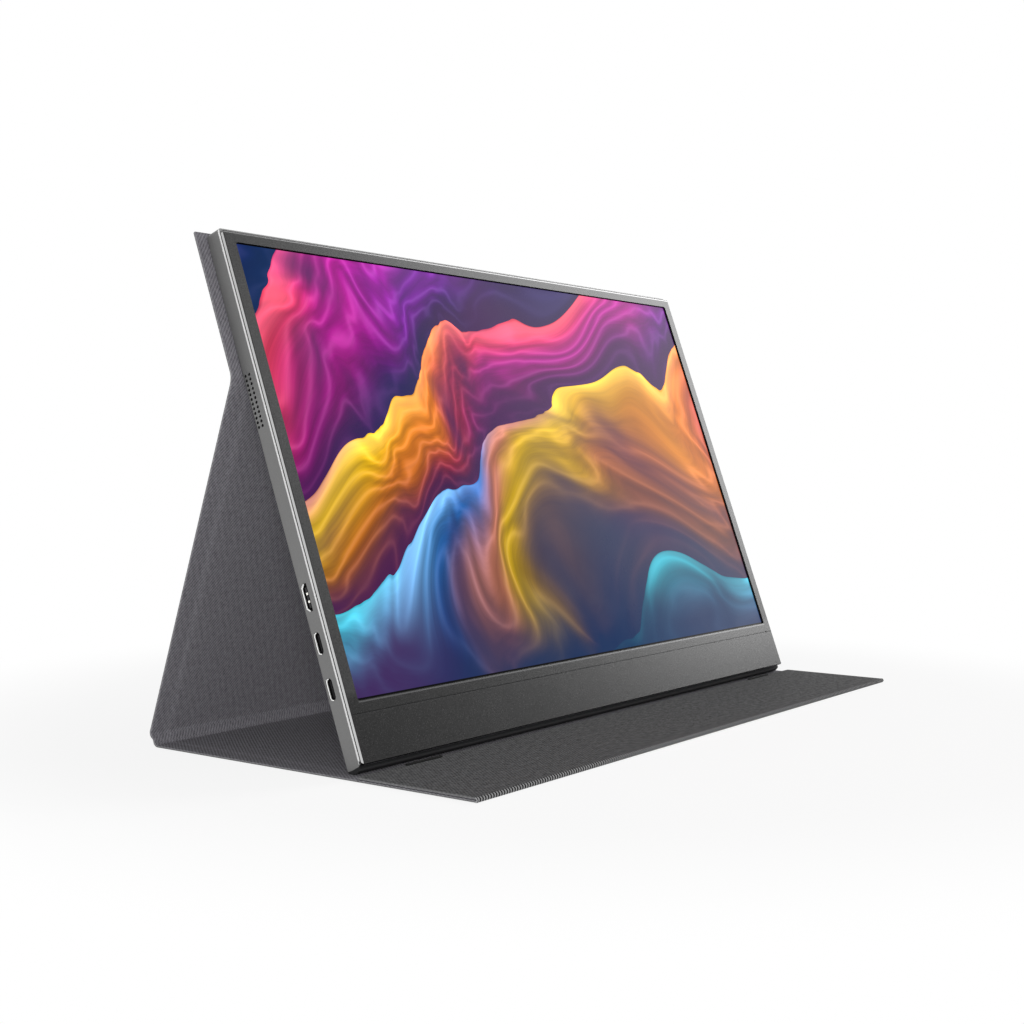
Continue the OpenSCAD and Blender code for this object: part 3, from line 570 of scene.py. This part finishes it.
def ribbed(name, colour, pitch):
    """Corded fabric: painted highlights on the ridges and painted shade in the valleys across the width."""
    made, n, shader = new_material(name, roughness=0.88, specular=0.05)
    cloth = n.add("ShaderNodeUVMap", uv_map="cloth").outputs[0]
    per_metre = 2 * math.pi / pitch
    turn = n.slope(n.parted(cloth)[0], per_metre, per_metre * COVER_HALF + math.pi)
    ridge = n.slope(n.math("COSINE", turn), 0.5, 0.5)
    fibre = n.noise(cloth, 1900.0, 2.0, 0.65)
    # the ridges are painted lighter and the valleys darker, as highlight and shade
    tone = n.swung(fibre, 0.35, n.span(ridge, 0.15, 0.95, 0.12, 3.5))
    n.link(n.mix("MULTIPLY", 1.0, tuple(colour), n.grey(tone)), shader["Base Color"])
    n.link(n.bump(n.times(fibre, 0.00003)), shader["Normal"])
    return made


def warped(n, place, shift, scale, detail, amount):
    """Points drawn out of line by a coloured noise."""
    drawn = n.noise(n.vector("ADD", place, shift), scale, detail, colour=True)
    return n.vector("ADD", place, n.scaled(n.vector("SUBTRACT", drawn, (0.5, 0.5, 0.5)), amount))


def lit_screen(name, width, height, swirl, brightness):
    """Glass over a lit picture of crossing bands of colour, black outside the picture."""
    made, n, shader = new_material(name, roughness=0.16, specular=0.02)
    here = n.vector("SUBTRACT", n.add("ShaderNodeTexCoord").outputs["Object"], tuple(MONITOR_FOOT))
    place = n.placed("Place on monitor")
    side, up = place["Side"], place["Up"]
    middle = PICTURE_FOOT + height / 2
    v = n.math("DIVIDE", n.math("SUBTRACT", up, middle), height)
    flat = n.joined(n.math("DIVIDE", side, height), v)
    # drawn out of line three times, so that the bands run like folded silk
    bent = warped(n, flat, (3.1, 7.4, 1.7), 0.95, 1.0, 2.6 * swirl)
    flow = warped(n, bent, (9.3, 2.6, 5.2), 2.3, 1.0, 0.62 * swirl)
    fine = warped(n, flow, (1.2, 8.8, 3.3), 6.0, 2.0, 0.10 * swirl)
    along, over, _ = n.parted(fine)
    stack = n.math("ADD", n.times(along, -1.15), n.times(over, 2.3))
    layer = n.math("FLOOR", stack)
    rise = n.math("FRACT", stack)
    palette = [
        (0.00, (0.98, 0.60, 0.005)), (0.10, (0.95, 0.25, 0.02)), (0.20, (0.90, 0.05, 0.12)),
        (0.30, (0.75, 0.01, 0.48)), (0.40, (0.36, 0.01, 0.62)), (0.50, (0.10, 0.01, 0.38)),
        (0.58, (0.005, 0.05, 0.46)), (0.66, (0.005, 0.22, 0.80)), (0.75, (0.01, 0.66, 0.80)),
        (0.83, (0.16, 0.48, 0.90)), (0.90, (0.01, 0.12, 0.42)), (0.96, (0.60, 0.20, 0.12)),
        (1.00, (0.98, 0.60, 0.005))]
    drift = n.math("ADD", n.times(along, 0.20), n.times(rise, -0.13))
    hue = n.math("FRACT", n.math("ADD", n.slope(layer, 0.236, 0.30), drift))
    colour = n.ramp(hue, palette)
    pleat_place = n.math("ADD", n.times(rise, 5.0), n.times(n.noise(flow, 3.4, 2.0), 5.0))
    pleat = n.slope(n.math("SINE", n.times(pleat_place, 2 * math.pi)), 0.5, 0.5)
    thread = n.noise(n.joined(n.times(along, 2.0), n.times(stack, 9.0)), 3.0, 3.0, 0.6)
    body = n.slope(n.math("POWER", rise, 1.3), 0.92, 0.20)
    body = n.times(body, n.slope(pleat, 0.42, 0.72), n.slope(thread, 0.7, 0.66))
    shaded = n.mix("MULTIPLY", 1.0, colour, n.grey(body))
    crest = n.times(n.span(rise, 0.80, 0.99), n.span(rise, 1.0, 0.985))
    gleam = n.times(n.math("ADD", crest, n.times(n.math("POWER", pleat, 7.0), 0.35)), 0.42)
    shaded = n.mix("ADD", gleam, shaded, n.mix("MIX", 0.20, colour, (0.9, 0.85, 1.0)))
    deep = n.ramp(n.noise(flat, 0.9, 1.0), [(0.38, (0.050, 0.006, 0.085)), (0.62, (0.003, 0.026, 0.10))])
    shadow = n.span(rise, 0.0, 0.42)
    # the lower part sinks into a deep violet
    sunk = n.span(n.slope(n.noise(flow, 2.2, 2.0), 0.5, v), -0.28, 0.02, 0.06, 1.0)
    gap = n.span(n.noise(n.vector("ADD", flow, (5.5, 1.1, 9.9)), 1.5, 2.0), 0.34, 0.52)
    lit = n.times(n.slope(shadow, 0.75, 0.25), n.times(gap, sunk))
    picture = n.mix("MIX", lit, deep, shaded)
    # the black margin is wider on the right and below, as painted shade along those edges of the opening
    trim_side, trim_foot = 0.3 * MM, 0.25 * MM
    across = n.math("LESS_THAN", n.off(side, -trim_side), width / 2 - trim_side)
    tall = n.math("LESS_THAN", n.off(up, middle + trim_foot), height / 2 - trim_foot)
    inside = n.times(across, tall)
    front = n.math("GREATER_THAN", place["Out"], -1.0 * MM)
    shown = n.mix("MULTIPLY", 1.0, picture, n.grey(n.times(inside, front)))
    n.link(shown, shader["Emission Color"])
    shader["Emission Strength"].default_value = brightness
    smear = n.noise(here, 38.0, 3.0, 0.6)
    n.link(n.mix("MIX", smear, (0.002, 0.002, 0.002), (0.004, 0.004, 0.004)), shader["Base Color"])
    n.link(n.span(smear, 0.3, 0.7, 0.13, 0.2), shader["Roughness"])
    return made


# ---------------------------------------------------------------- meshes


def add_object(name, data):
    """A new object in the scene."""
    made = bpy.data.objects.new(name, data)
    bpy.context.scene.collection.objects.link(made)
    return made


def add_mesh(name, bm, *materials):
    """A new object from a bmesh, with its faces turned outwards."""
    bmesh.ops.recalc_face_normals(bm, faces=bm.faces)
    mesh = bpy.data.meshes.new(name)
    bm.to_mesh(mesh)
    bm.free()
    for material in materials:
        mesh.materials.append(material)
    return add_object(name, mesh)


def skin(bm, rings):
    """Faces from each ring of points to the next: (ring number, point number, face)."""
    for k, (a, b) in enumerate(zip(rings, rings[1:])):
        for j in range(len(a)):
            i = (j + 1) % len(a)
            yield k, j, bm.faces.new((a[j], a[i], b[i], b[j]))


def distance(a, b):
    """How far apart two points lie, by their first two numbers."""
    return math.hypot(b[0] - a[0], b[1] - a[1])


def path_lengths(points, start=0.0):
    """How far along a path each of its points lies."""
    made = [start]
    for a, b in zip(points, points[1:]):
        made.append(made[-1] + distance(a, b))
    return made


def run_between(start, end, count):
    """Points from start to end, both among them."""
    return [start + (end - start) * k / count for k in range(count + 1)]


def side_path(points, half=PANEL_HALF):
    """Stations (Y, Z, normal Y, normal Z, half thickness) along side points, with normals to the outer side."""
    made = []
    for k, (y, z) in enumerate(points):
        a, b = points[max(k - 1, 0)], points[min(k + 1, len(points) - 1)]
        dy, dz = b[0] - a[0], b[1] - a[1]
        length = math.hypot(dy, dz)
        made.append([y, z, -dz / length, dy / length, half])
    return made


def straight(a, b, count):
    """Stations of a flat panel from a to b."""
    return side_path([(a[0] + (b[0] - a[0]) * k / count, a[1] + (b[1] - a[1]) * k / count)
                      for k in range(count + 1)])


def toward(a, b, reach):
    """The side point that lies this far from a towards b."""
    length = distance(a, b)
    return (a[0] + (b[0] - a[0]) * reach / length, a[1] + (b[1] - a[1]) * reach / length)


def crease(before, corner, after, reach, thin, count=12):
    """Stations of a soft crease round a corner, reach to each side of it, thinner in its middle."""
    a, c = toward(corner, before, reach), toward(corner, after, reach)
    points = []
    for k in range(count + 1):
        t = k / count
        points.append(tuple((1 - t) ** 2 * a[i] + 2 * t * (1 - t) * corner[i] + t * t * c[i] for i in (0, 1)))
    made = side_path(points)
    for end, near, far in ((0, a, corner), (-1, corner, c)):
        length = distance(near, far)
        made[end][2:4] = [-(far[1] - near[1]) / length, (far[0] - near[0]) / length]
    for k, station in enumerate(made):
        station[4] *= 1 - thin * math.sin(math.pi * k / count) ** 2
    return made


def hollowed(stations):
    """The spine strip's stations, bowed inwards and pressed thinner in the middle."""
    for k, station in enumerate(stations):
        bow = math.sin(math.pi * k / (len(stations) - 1)) ** 2
        station[0] -= station[2] * 0.34 * MM * bow
        station[1] -= station[3] * 0.34 * MM * bow
        station[4] *= 1 - 0.3 * bow
    return stations


def rounded_end(stations, at_start):
    """Adds a rounded free end to a panel's stations: (stations, how far each is drawn in from the sides)."""
    end = stations[0] if at_start else stations[-1]
    inner = stations[1] if at_start else stations[-2]
    length = distance(inner, end)
    direction = ((end[0] - inner[0]) / length, (end[1] - inner[1]) / length)
    radius, corner = end[4] * 0.98, 1.1 * MM
    tail, drawn = [], []
    for back in (2.6, 1.8, 1.2, 0.8, 0.5, 0.3, 0.17, 0.08, 0.03, 0.0):
        away = back * MM
        cut = min(1.0, away / radius)
        half = max(0.12, math.sqrt(1 - (1 - cut) ** 2)) * end[4]
        slip = min(1.0, away / corner)
        tail.append([end[0] - direction[0] * away, end[1] - direction[1] * away, end[2], end[3], half])
        drawn.append(corner * (1 - math.sqrt(1 - (1 - slip) ** 2)) * 0.9)
    kept = [s for s in (stations[1:] if at_start else stations[:-1]) if distance(end, s) > 3 * MM]
    level = [0.0] * len(kept)
    if at_start:
        return tail[::-1] + kept, drawn[::-1] + level
    return kept + tail, level + drawn


def cross_section(half_width, half, press, columns):
    """One closed ring of (x, height) points: flat faces with a pressed border and round edges."""
    rim = min(0.42 * MM, half * 0.9)
    inset = [rim, 0.9 * MM, 1.6 * MM, 2.2 * MM, 2.9 * MM, 4.5 * MM]
    inner = half_width - inset[-1]
    right_xs = [half_width - i for i in inset]
    xs = [-x for x in right_xs] + run_between(-inner, inner, columns)[1:-1] + right_xs[::-1]

    def level(x):
        edge = half_width - abs(x)
        share = max(0.0, min(1.0, (edge - 1.4 * MM) / (1.4 * MM)))
        return half - press * (1 - share * share * (3 - 2 * share)) * (half / PANEL_HALF)

    top = [(x, level(x)) for x in xs]
    turn = [math.radians(a) for a in (22, 45, 68)]
    edge_level = level(xs[0])
    round_top = [(half_width - rim + rim * math.sin(a), edge_level - rim + rim * math.cos(a)) for a in turn]
    over = [(half_width, edge_level - rim)] if edge_level - rim > 0.02 * MM else []
    right = round_top + over
    upper = [(-x, h) for x, h in right[::-1]] + top + right
    return upper + [(x, -h) for x, h in upper[::-1]]


def cover_piece(name, stations, drawn, press, columns, start_length=0.0):
    """A closed fabric-covered piece along side stations, with its cloth coordinates in metres."""
    bm = bmesh.new()
    cloth = bm.loops.layers.uv.new("cloth")
    lengths = path_lengths(stations, start_length)
    sections = [cross_section(COVER_HALF - inset, half, press, columns)
                for (*_, half), inset in zip(stations, drawn)]
    arcs = path_lengths(sections[0])
    arcs.append(arcs[-1] + 2 * sections[0][0][1])
    rings = [[bm.verts.new((x, y + ny * h, z + nz * h)) for x, h in section]
             for (y, z, ny, nz, _), section in zip(stations, sections)]
    count = len(rings[0])
    if any(len(ring) != count for ring in rings):
        raise ValueError(f"{name}: the rings differ")
    half_count = count // 2
    for k, j, face in skin(bm, rings):
        face.smooth = True
        face.material_index = 0 if j < half_count or j == count - 1 else 1
        for loop, place in zip(face.loops, ((j, k), (j + 1, k), (j + 1, k + 1), (j, k + 1))):
            loop[cloth].uv = (arcs[place[0]], lengths[place[1]])
    for ring, order in ((rings[0], 1), (rings[-1], -1)):
        for j in range(half_count - 1):
            corners = (ring[j], ring[count - 1 - j], ring[count - 2 - j], ring[j + 1])
            face = bm.faces.new(corners[::order])
            face.smooth = False
            for loop in face.loops:
                loop[cloth].uv = (loop.vert.co.x, 0.0)
        for j in range(count):
            bm.edges.get((ring[j], ring[(j + 1) % count])).smooth = False
    return add_mesh(name, bm, bpy.data.materials["outer_fabric"], bpy.data.materials["inner_fabric"]), lengths[-1]


def point3(side):
    return (0.0, side[0], side[1])


# The side points where the panels of the cover begin and end
FOLD_REACH = 3.4 * MM
SPINE_REACH = 1.2 * MM
UPPER_END = (FOLD[0] + UPPER_LENGTH * math.sin(TILT), FOLD[1] + UPPER_LENGTH * math.cos(TILT))
LIP_BASE = (LIP[0], BASE[1])
LIP_FLAP = (LIP[0] + 0.05 * MM, 2 * LIP[1] - BASE[1])
FLAP_END = (LIP[0] + FLAP_LENGTH, LIP_FLAP[1])


# ---------------------------------------------------------------- operators


class MONITOR_OT_prepare(bpy.types.Operator):
    """Builds the shared node groups and the cover's fabrics"""

    bl_idname = "monitor.prepare"
    bl_label = "Prepare finishes"

    def execute(self, context):
        build_groups()
        cover = context.scene.cover_finish
        fabric("outer_fabric", cover.outer_colour, cover.twill_pitch, 0.22, 0.14, 1.4, 2.9, 0.3)
        fabric("inner_fabric", cover.inner_colour, cover.twill_pitch, 0.27, 0.12, 0.9, 1.1, 0.25, 0.16)
        return {"FINISHED"}


class MONITOR_OT_metal(bpy.types.Operator):
    """Dresses the shell, bezel, chin and buttons in anodised metal with bright cut edges"""

    bl_idname = "monitor.metal"
    bl_label = "Metal housing"

    def execute(self, context):
        f = context.scene.monitor_finish
        cut, fine = f.cut_colour, {"grain": f.grain, "depth": f.grain_depth}
        shell_cut, bezel_cut = (shell_edge, cut, 0.6, 0.0), (bezel_edge, cut, 0.2, 1.0)
        chin = [0.8 * v for v in f.bezel_colour]
        # the shell's zone is painted shade along its foot and in the grille holes
        dress(anodised("anodised_shell", f.shell_colour, 0.5, 0.22, 0.75, shell_cut,
                       zones=((foot_shade_zone, PAINTED_SHADE, 0.75),), **fine), "rear_shell")
        # painted highlights and painted shade on the bezel: under the screen, along the upper edge, above that line
        # and on the opening's right wall
        lines = ((opening_highlight_zone, (0.08, 0.08, 0.081), 0.26), (crest_highlight_zone, (0.15, 0.15, 0.15), 0.26),
                 (crest_shade_zone, PAINTED_SHADE, 0.75), (opening_wall_shade_zone, PAINTED_SHADE, 0.75))
        dress(anodised("anodised_bezel", f.bezel_colour, 0.36, 0.8, 1.0, bezel_cut,
                       (lower_band, chin, 0.26), lines, **fine), "front_frame")
        # the chin's zone is a painted highlight along its upper edge
        dress(anodised("anodised_chin", chin, 0.26, 0.9, 1.0, bezel_cut,
                       zones=((chin_highlight_zone, (0.05, 0.05, 0.051), 0.26),), **fine), "chin_cover")
        dress(anodised("anodised_button", f.shell_colour, 0.34, 0.12, **fine),
              "power_button", "plus_button", "minus_button")
        return {"FINISHED"}


class MONITOR_OT_screen(bpy.types.Operator):
    """Lights the screen and dresses the layers behind it"""

    bl_idname = "monitor.screen"
    bl_label = "Lit screen"

    def execute(self, context):
        f = context.scene.screen_finish
        dress(lit_screen("lit_screen", f.picture_width, f.picture_height, f.swirl, f.brightness), "lcd_panel")
        dress_moulded((
            ("diffuser_film", (0.78, 0.79, 0.80), 0.3, {}, ["optical_films"]),
            ("light_guide_acrylic", (0.72, 0.76, 0.78), 0.12, {}, ["light_guide"]),
            ("reflector_white", (0.86, 0.86, 0.85), 0.45, {}, ["reflector_sheet"]),
            ("rolled_steel", (0.42, 0.42, 0.41), 0.3, {"metallic": 1.0}, ["backlight_tray"]),
            ("lamp_phosphor", (0.85, 0.80, 0.45), 0.4, {}, ["led_strip"])))
        return {"FINISHED"}


class MONITOR_OT_sockets(bpy.types.Operator):
    """Dresses the sockets, speakers, boards and cables"""

    bl_idname = "monitor.sockets"
    bl_label = "Sockets, speakers and boards"

    def execute(self, context):
        # the sockets' zone is painted shade in their depth and near half
        dress(anodised("drawn_steel", (0.9, 0.9, 0.89), 0.35, 0.1, 0.15,
                       zones=((socket_shade_zone, (0.003, 0.003, 0.003), 0.75),),
                       grain=0.0004, depth=0.000002, specular=0.12),
              "mini_hdmi_socket", "usb_c_socket_upper", "usb_c_socket_lower")
        dress(anodised("video_contacts", (0.008, 0.008, 0.009), 0.6, 0.2, 0.0,
                       zones=((pin_zone, (0.9, 0.88, 0.82), 0.75),)),
              "mini_hdmi_contacts")
        dress_moulded((
            ("contact_plastic", (0.008, 0.008, 0.009), 0.6, {"specular": 0.1}, ["usb_c_contacts"]),
            ("socket_body", (0.02, 0.02, 0.022), 0.4, {}, ["headphone_socket"]),
            ("speaker_plastic", (0.018, 0.018, 0.02), 0.55, {}, ["speaker_left", "speaker_right"]),
            ("speaker_cloth", (0.004, 0.004, 0.004), 0.9, {"grain": 0.0003, "specular": 0.0},
             ["speaker_mesh_left", "speaker_mesh_right"]),
            ("solder_mask", (0.012, 0.10, 0.045), 0.32, {"grain": 0.002},
             ["main_board", "panel_driver_board", "button_board"]),
            ("flex_film", (0.55, 0.22, 0.03), 0.3, {}, ["panel_flex", "display_cable", "button_cable"]),
            ("wire_red", (0.35, 0.02, 0.015), 0.42, {}, ["speaker_wires"]),
            ("plated_steel", (0.62, 0.61, 0.60), 0.24, {"metallic": 1.0}, ["board_screws", "magnet_plate"])))
        return {"FINISHED"}


class COVER_OT_panels(bpy.types.Operator):
    """Makes the four stiff panels of the cover and the spine strip, wrapped in fabric"""

    bl_idname = "cover.panels"
    bl_label = "Cover panels"

    def execute(self, context):
        c = context.scene.cover_finish
        dress_moulded((
            ("cover_board_grey", (0.30, 0.29, 0.27), 0.85, {},
             ["upper_board", "leg_board", "base_board", "flap_board"]),
            ("magnet_nickel", (0.60, 0.59, 0.58), 0.25, {"metallic": 1.0}, ["upper_magnets", "flap_magnets"])))
        upper = straight(UPPER_END, toward(FOLD, UPPER_END, FOLD_REACH), 16)
        leg = straight(toward(FOLD, SPINE, FOLD_REACH), toward(SPINE, FOLD, SPINE_REACH), 36)
        spine = hollowed(straight(toward(SPINE, BASE, SPINE_REACH), toward(BASE, SPINE, SPINE_REACH), 12))
        base = straight(toward(BASE, LIP_BASE, SPINE_REACH), LIP_BASE, 40)
        flap = straight(LIP_FLAP, FLAP_END, 14)
        # piece, body, stations, free end, the nodes it replaces, what it rests on
        plans = (
            ("upper_cover", "monitor", upper, "start", ("upper_outer_skin", "upper_inner_skin"), "upper_board"),
            ("leg_cover", "leg", leg, None, ("leg_outer_skin", "leg_inner_skin"), "leg_board"),
            ("spine_cover", "spine", spine, None, ("spine_outer_skin", "spine_inner_skin"), "leg_cover"),
            ("base_cover", "base", base, None, ("base_outer_skin", "base_inner_skin"), "base_board"),
            ("flap_cover", "flap", flap, "end", ("flap_outer_skin", "flap_inner_skin"), "flap_board"),
        )
        length = 0.0
        for name, body, stations, free_end, nodes, rests_on in plans:
            drawn = [0.0] * len(stations)
            if free_end:
                stations, drawn = rounded_end(stations, free_end == "start")
            piece, length = cover_piece(name, stations, drawn, c.edge_press, c.columns, length)
            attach(piece, body)
            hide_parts(*nodes)
            length += 2 * FOLD_REACH
        return {"FINISHED"}


class COVER_OT_creases(bpy.types.Operator):
    """Makes the soft creases round the corners between the panels"""

    bl_idname = "cover.creases"
    bl_label = "Cover creases"

    def execute(self, context):
        c = context.scene.cover_finish
        plans = (
            ("fold_crease", "monitor", "leg", UPPER_END, FOLD, SPINE, FOLD_REACH, 0.22),
            ("leg_crease", "leg", "spine", FOLD, SPINE, BASE, SPINE_REACH, 0.12),
            ("foot_crease", "spine", "base", SPINE, BASE, LIP_BASE, SPINE_REACH, 0.18),
        )
        for name, a, b, before, corner, after, reach, thin in plans:
            stations = crease(before, corner, after, reach, thin)
            piece, _ = cover_piece(name, stations, [0.0] * len(stations), c.edge_press, c.columns)
            start, end = toward(corner, before, reach), toward(corner, after, reach)
            lap = 0.24 * MM
            point3(toward(start, end, lap))
            point3(toward(end, start, lap))
            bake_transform(piece)
        return {"FINISHED"}


class COVER_OT_lip(bpy.types.Operator):
    """Makes the ribbed front lip that the flap folds over on"""

    bl_idname = "cover.lip"
    bl_label = "Ribbed lip"

    def execute(self, context):
        c = context.scene.cover_finish
        bm = bmesh.new()
        cloth = bm.loops.layers.uv.new("cloth")
        outer, inner = 1.05 * MM, 0.55 * MM
        per_rib, arc = 8, 12
        ribs = round(2 * COVER_HALF / c.rib_pitch)
        columns = ribs * per_rib
        grid = []

        def around_lip(x, radius, j):
            """A point on the arc about the lip's axis."""
            turn = math.pi * j / arc
            return bm.verts.new((x, LIP[0] - radius * math.sin(turn), LIP[1] - radius * math.cos(turn)))

        for k in range(columns + 1):
            x = -COVER_HALF + 2 * COVER_HALF * k / columns
            wave = 0.5 + 0.5 * math.cos(2 * math.pi * (k / per_rib + 0.5))
            row = []
            for j in range(arc + 1):
                fade = math.sin(math.pi * j / arc) ** 0.5 if 0 < j < arc else 0.0
                row.append(around_lip(x, outer + c.rib_height * (wave - 0.35) * fade, j))
            grid.append(row + [around_lip(x, inner, j) for j in range(arc, -1, -3)])
        around = len(grid[0])
        for _, j, face in skin(bm, grid):
            face.smooth = j not in (arc, around - 1)
            for loop in face.loops:
                loop[cloth].uv = (loop.vert.co.x, (loop.vert.co.z - LIP[1]) * 1.5)
        for row, order in ((grid[0], 1), (grid[-1], -1)):
            inner_row = row[arc + 1:][::-1]
            for j in range(arc // 3):
                run = row[3 * j:3 * j + 4] + [inner_row[j + 1], inner_row[j]]
                bm.faces.new(run[::order])
        piece = add_mesh("ribbed_lip", bm, ribbed("lip_fabric", c.outer_colour, 2 * COVER_HALF / ribs))
        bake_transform(piece)
        return {"FINISHED"}


class COVER_OT_stops(bpy.types.Operator):
    """Makes the two rubber stops along the flap's free edge"""

    bl_idname = "cover.stops"
    bl_label = "Rubber stops"

    def execute(self, context):
        bm = bmesh.new()
        reach, foot, low = STOP_PLACE
        length, width, height = STOP_SIZE
        # each level as a share of the width and of the height, over the rim and down into the hollow top
        levels = ((1.0, 0.0), (1.0, 0.62), (0.94, 0.86), (0.80, 1.0), (0.52, 1.0), (0.44, 0.72), (0.30, 0.66))
        for side in (-1, 1):
            outline = []
            for end in (1, -1):
                for a in run_between(-math.pi / 2, math.pi / 2, 8):
                    x, y = (length - width + math.cos(a) * width) / 2, math.sin(a) * width / 2
                    outline.append((end * x, end * y))
            rings = []
            for scale, up in levels:
                shrink = (1 - scale) * width / 2
                ring = []
                for x, y in outline:
                    px = x - math.copysign(shrink, x)
                    ring.append(bm.verts.new((side * reach + px, foot + y * scale, low + height * up)))
                rings.append(ring)
            for _, _, face in skin(bm, rings):
                face.smooth = True
            bm.faces.new(rings[-1])
            bm.faces.new(rings[0][::-1])
        rubber = moulded("stop_rubber_black", (0.010, 0.010, 0.010), 0.7, depth=0.00003, specular=0.06)
        piece = add_mesh("moulded_stops", bm, rubber)
        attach(piece, "flap")
        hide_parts("rubber_stops")
        return {"FINISHED"}


def seen_share(n):
    """1 for the rays that show the floor or the sky itself, so that they stay white while they light less."""
    path = n.add("ShaderNodeLightPath").outputs
    bounced = n.math("MAXIMUM", path["Is Glossy Ray"], path["Is Transmission Ray"])
    return n.math("MAXIMUM", path["Is Camera Ray"], bounced)


class STAGE_OT_studio(bpy.types.Operator):
    """Makes the pale floor, the sky, the lamps and the camera"""

    bl_idname = "stage.studio"
    bl_label = "Studio"

    def execute(self, context):
        s = context.scene.stage_light
        context.scene.view_settings.view_transform = "Standard"
        self.camera(context)
        self.floor()
        self.sky(context, s.sky)
        self.lamp("side_lamp", s.side_lamp, (1.86, -0.52, 0.90), (0.05, -0.02, 0.08), 0.9, 1.1)
        self.lamp("fill_lamp", s.fill_lamp, (-1.55, -0.86, 0.30), (0.0, 0.05, 0.08), 1.0, 0.5)
        self.lamp("top_lamp", s.top_lamp, (-0.35, -0.3, 1.9), (0.0, 0.0, 0.0), 1.6, 1.6)
        return {"FINISHED"}

    def camera(self, context):
        data = bpy.data.cameras.new("photo_camera")
        data.lens, data.sensor_width = 54.45, 36.0
        data.clip_start, data.clip_end = 0.01, 60.0
        made = add_object("photo_camera", data)
        made.location = Vector((-621.87, -421.86, 126.65)) * MM
        made.rotation_euler = [math.radians(a) for a in (87.7101, -0.2816, -53.9071)]
        context.scene.camera = made

    def floor(self):
        mesh = bpy.data.meshes.new("studio_floor")
        bm = bmesh.new()
        bmesh.ops.create_circle(bm, cap_ends=True, segments=96, radius=30.0)
        bm.to_mesh(mesh)
        bm.free()
        made = add_object("studio_floor", mesh)
        made.location.z = -0.05 * MM
        material, n, shader = new_material("studio_paper", roughness=0.9, specular=0.0)
        shader["Base Color"].default_value = (0.93, 0.93, 0.93, 1)
        place = n.add("ShaderNodeTexCoord").outputs["Object"]
        far = n.span(n.vector("LENGTH", place), 0.22, 0.37, 0.84, 1.0)
        white = n.add("ShaderNodeEmission")
        mixed = n.add("ShaderNodeMixShader")
        n.link(n.times(far, seen_share(n)), mixed.inputs[0])
        n.link(material.node_tree.nodes["Principled BSDF"].outputs[0], mixed.inputs[1])
        n.link(white.outputs[0], mixed.inputs[2])
        n.link(mixed.outputs[0], material.node_tree.nodes["Material Output"].inputs["Surface"])
        mesh.materials.append(material)

    def sky(self, context, strength):
        world = bpy.data.worlds.new("studio_sky")
        context.scene.world = world
        world.use_nodes = True
        n = Nodes(world.node_tree)
        background = world.node_tree.nodes["Background"]
        background.inputs["Color"].default_value = (1, 1, 1, 1)
        n.link(n.span(seen_share(n), 0.0, 1.0, strength, 1.0, smooth=False), background.inputs["Strength"])

    def lamp(self, name, power, place, aim, width, height):
        data = bpy.data.lights.new(name, "AREA")
        data.shape, data.size, data.size_y, data.energy = "RECTANGLE", width, height, power
        made = add_object(name, data)
        made.location = place
        made.rotation_mode = "QUATERNION"
        made.rotation_quaternion = (Vector(aim) - Vector(place)).to_track_quat("-Z", "Y")


STEPS = (MONITOR_OT_prepare, MONITOR_OT_metal, MONITOR_OT_screen, MONITOR_OT_sockets,
         COVER_OT_panels, COVER_OT_creases, COVER_OT_lip, COVER_OT_stops, STAGE_OT_studio)


class MONITOR_PT_sidebar(bpy.types.Panel):
    """Lists the steps and their settings in the 3D view's sidebar"""

    bl_idname = "MONITOR_PT_sidebar"
    bl_label = "Portable monitor"
    bl_space_type = "VIEW_3D"
    bl_region_type = "UI"
    bl_category = "Monitor"

    def draw(self, context):
        layout = self.layout
        for step in STEPS:
            layout.operator(step.bl_idname)
        for name in PROPERTIES:
            box = layout.box()
            group = getattr(context.scene, name)
            for key in group.__annotations__:
                box.prop(group, key)


PROPERTIES = {
    "monitor_finish": MonitorFinish, "screen_finish": ScreenFinish,
    "cover_finish": CoverFinish, "stage_light": StageLight,
}


def register():
    for name, group in PROPERTIES.items():
        bpy.utils.register_class(group)
        setattr(bpy.types.Scene, name, PointerProperty(type=group))
    for step in STEPS:
        bpy.utils.register_class(step)
    bpy.utils.register_class(MONITOR_PT_sidebar)


def unregister():
    bpy.utils.unregister_class(MONITOR_PT_sidebar)
    for step in reversed(STEPS):
        bpy.utils.unregister_class(step)
    for name, group in PROPERTIES.items():
        delattr(bpy.types.Scene, name)
        bpy.utils.unregister_class(group)


def main():
    register()
    for step in STEPS:
        area, call = step.bl_idname.split(".")
        getattr(getattr(bpy.ops, area), call)()


if __name__ == "__main__":
    main()
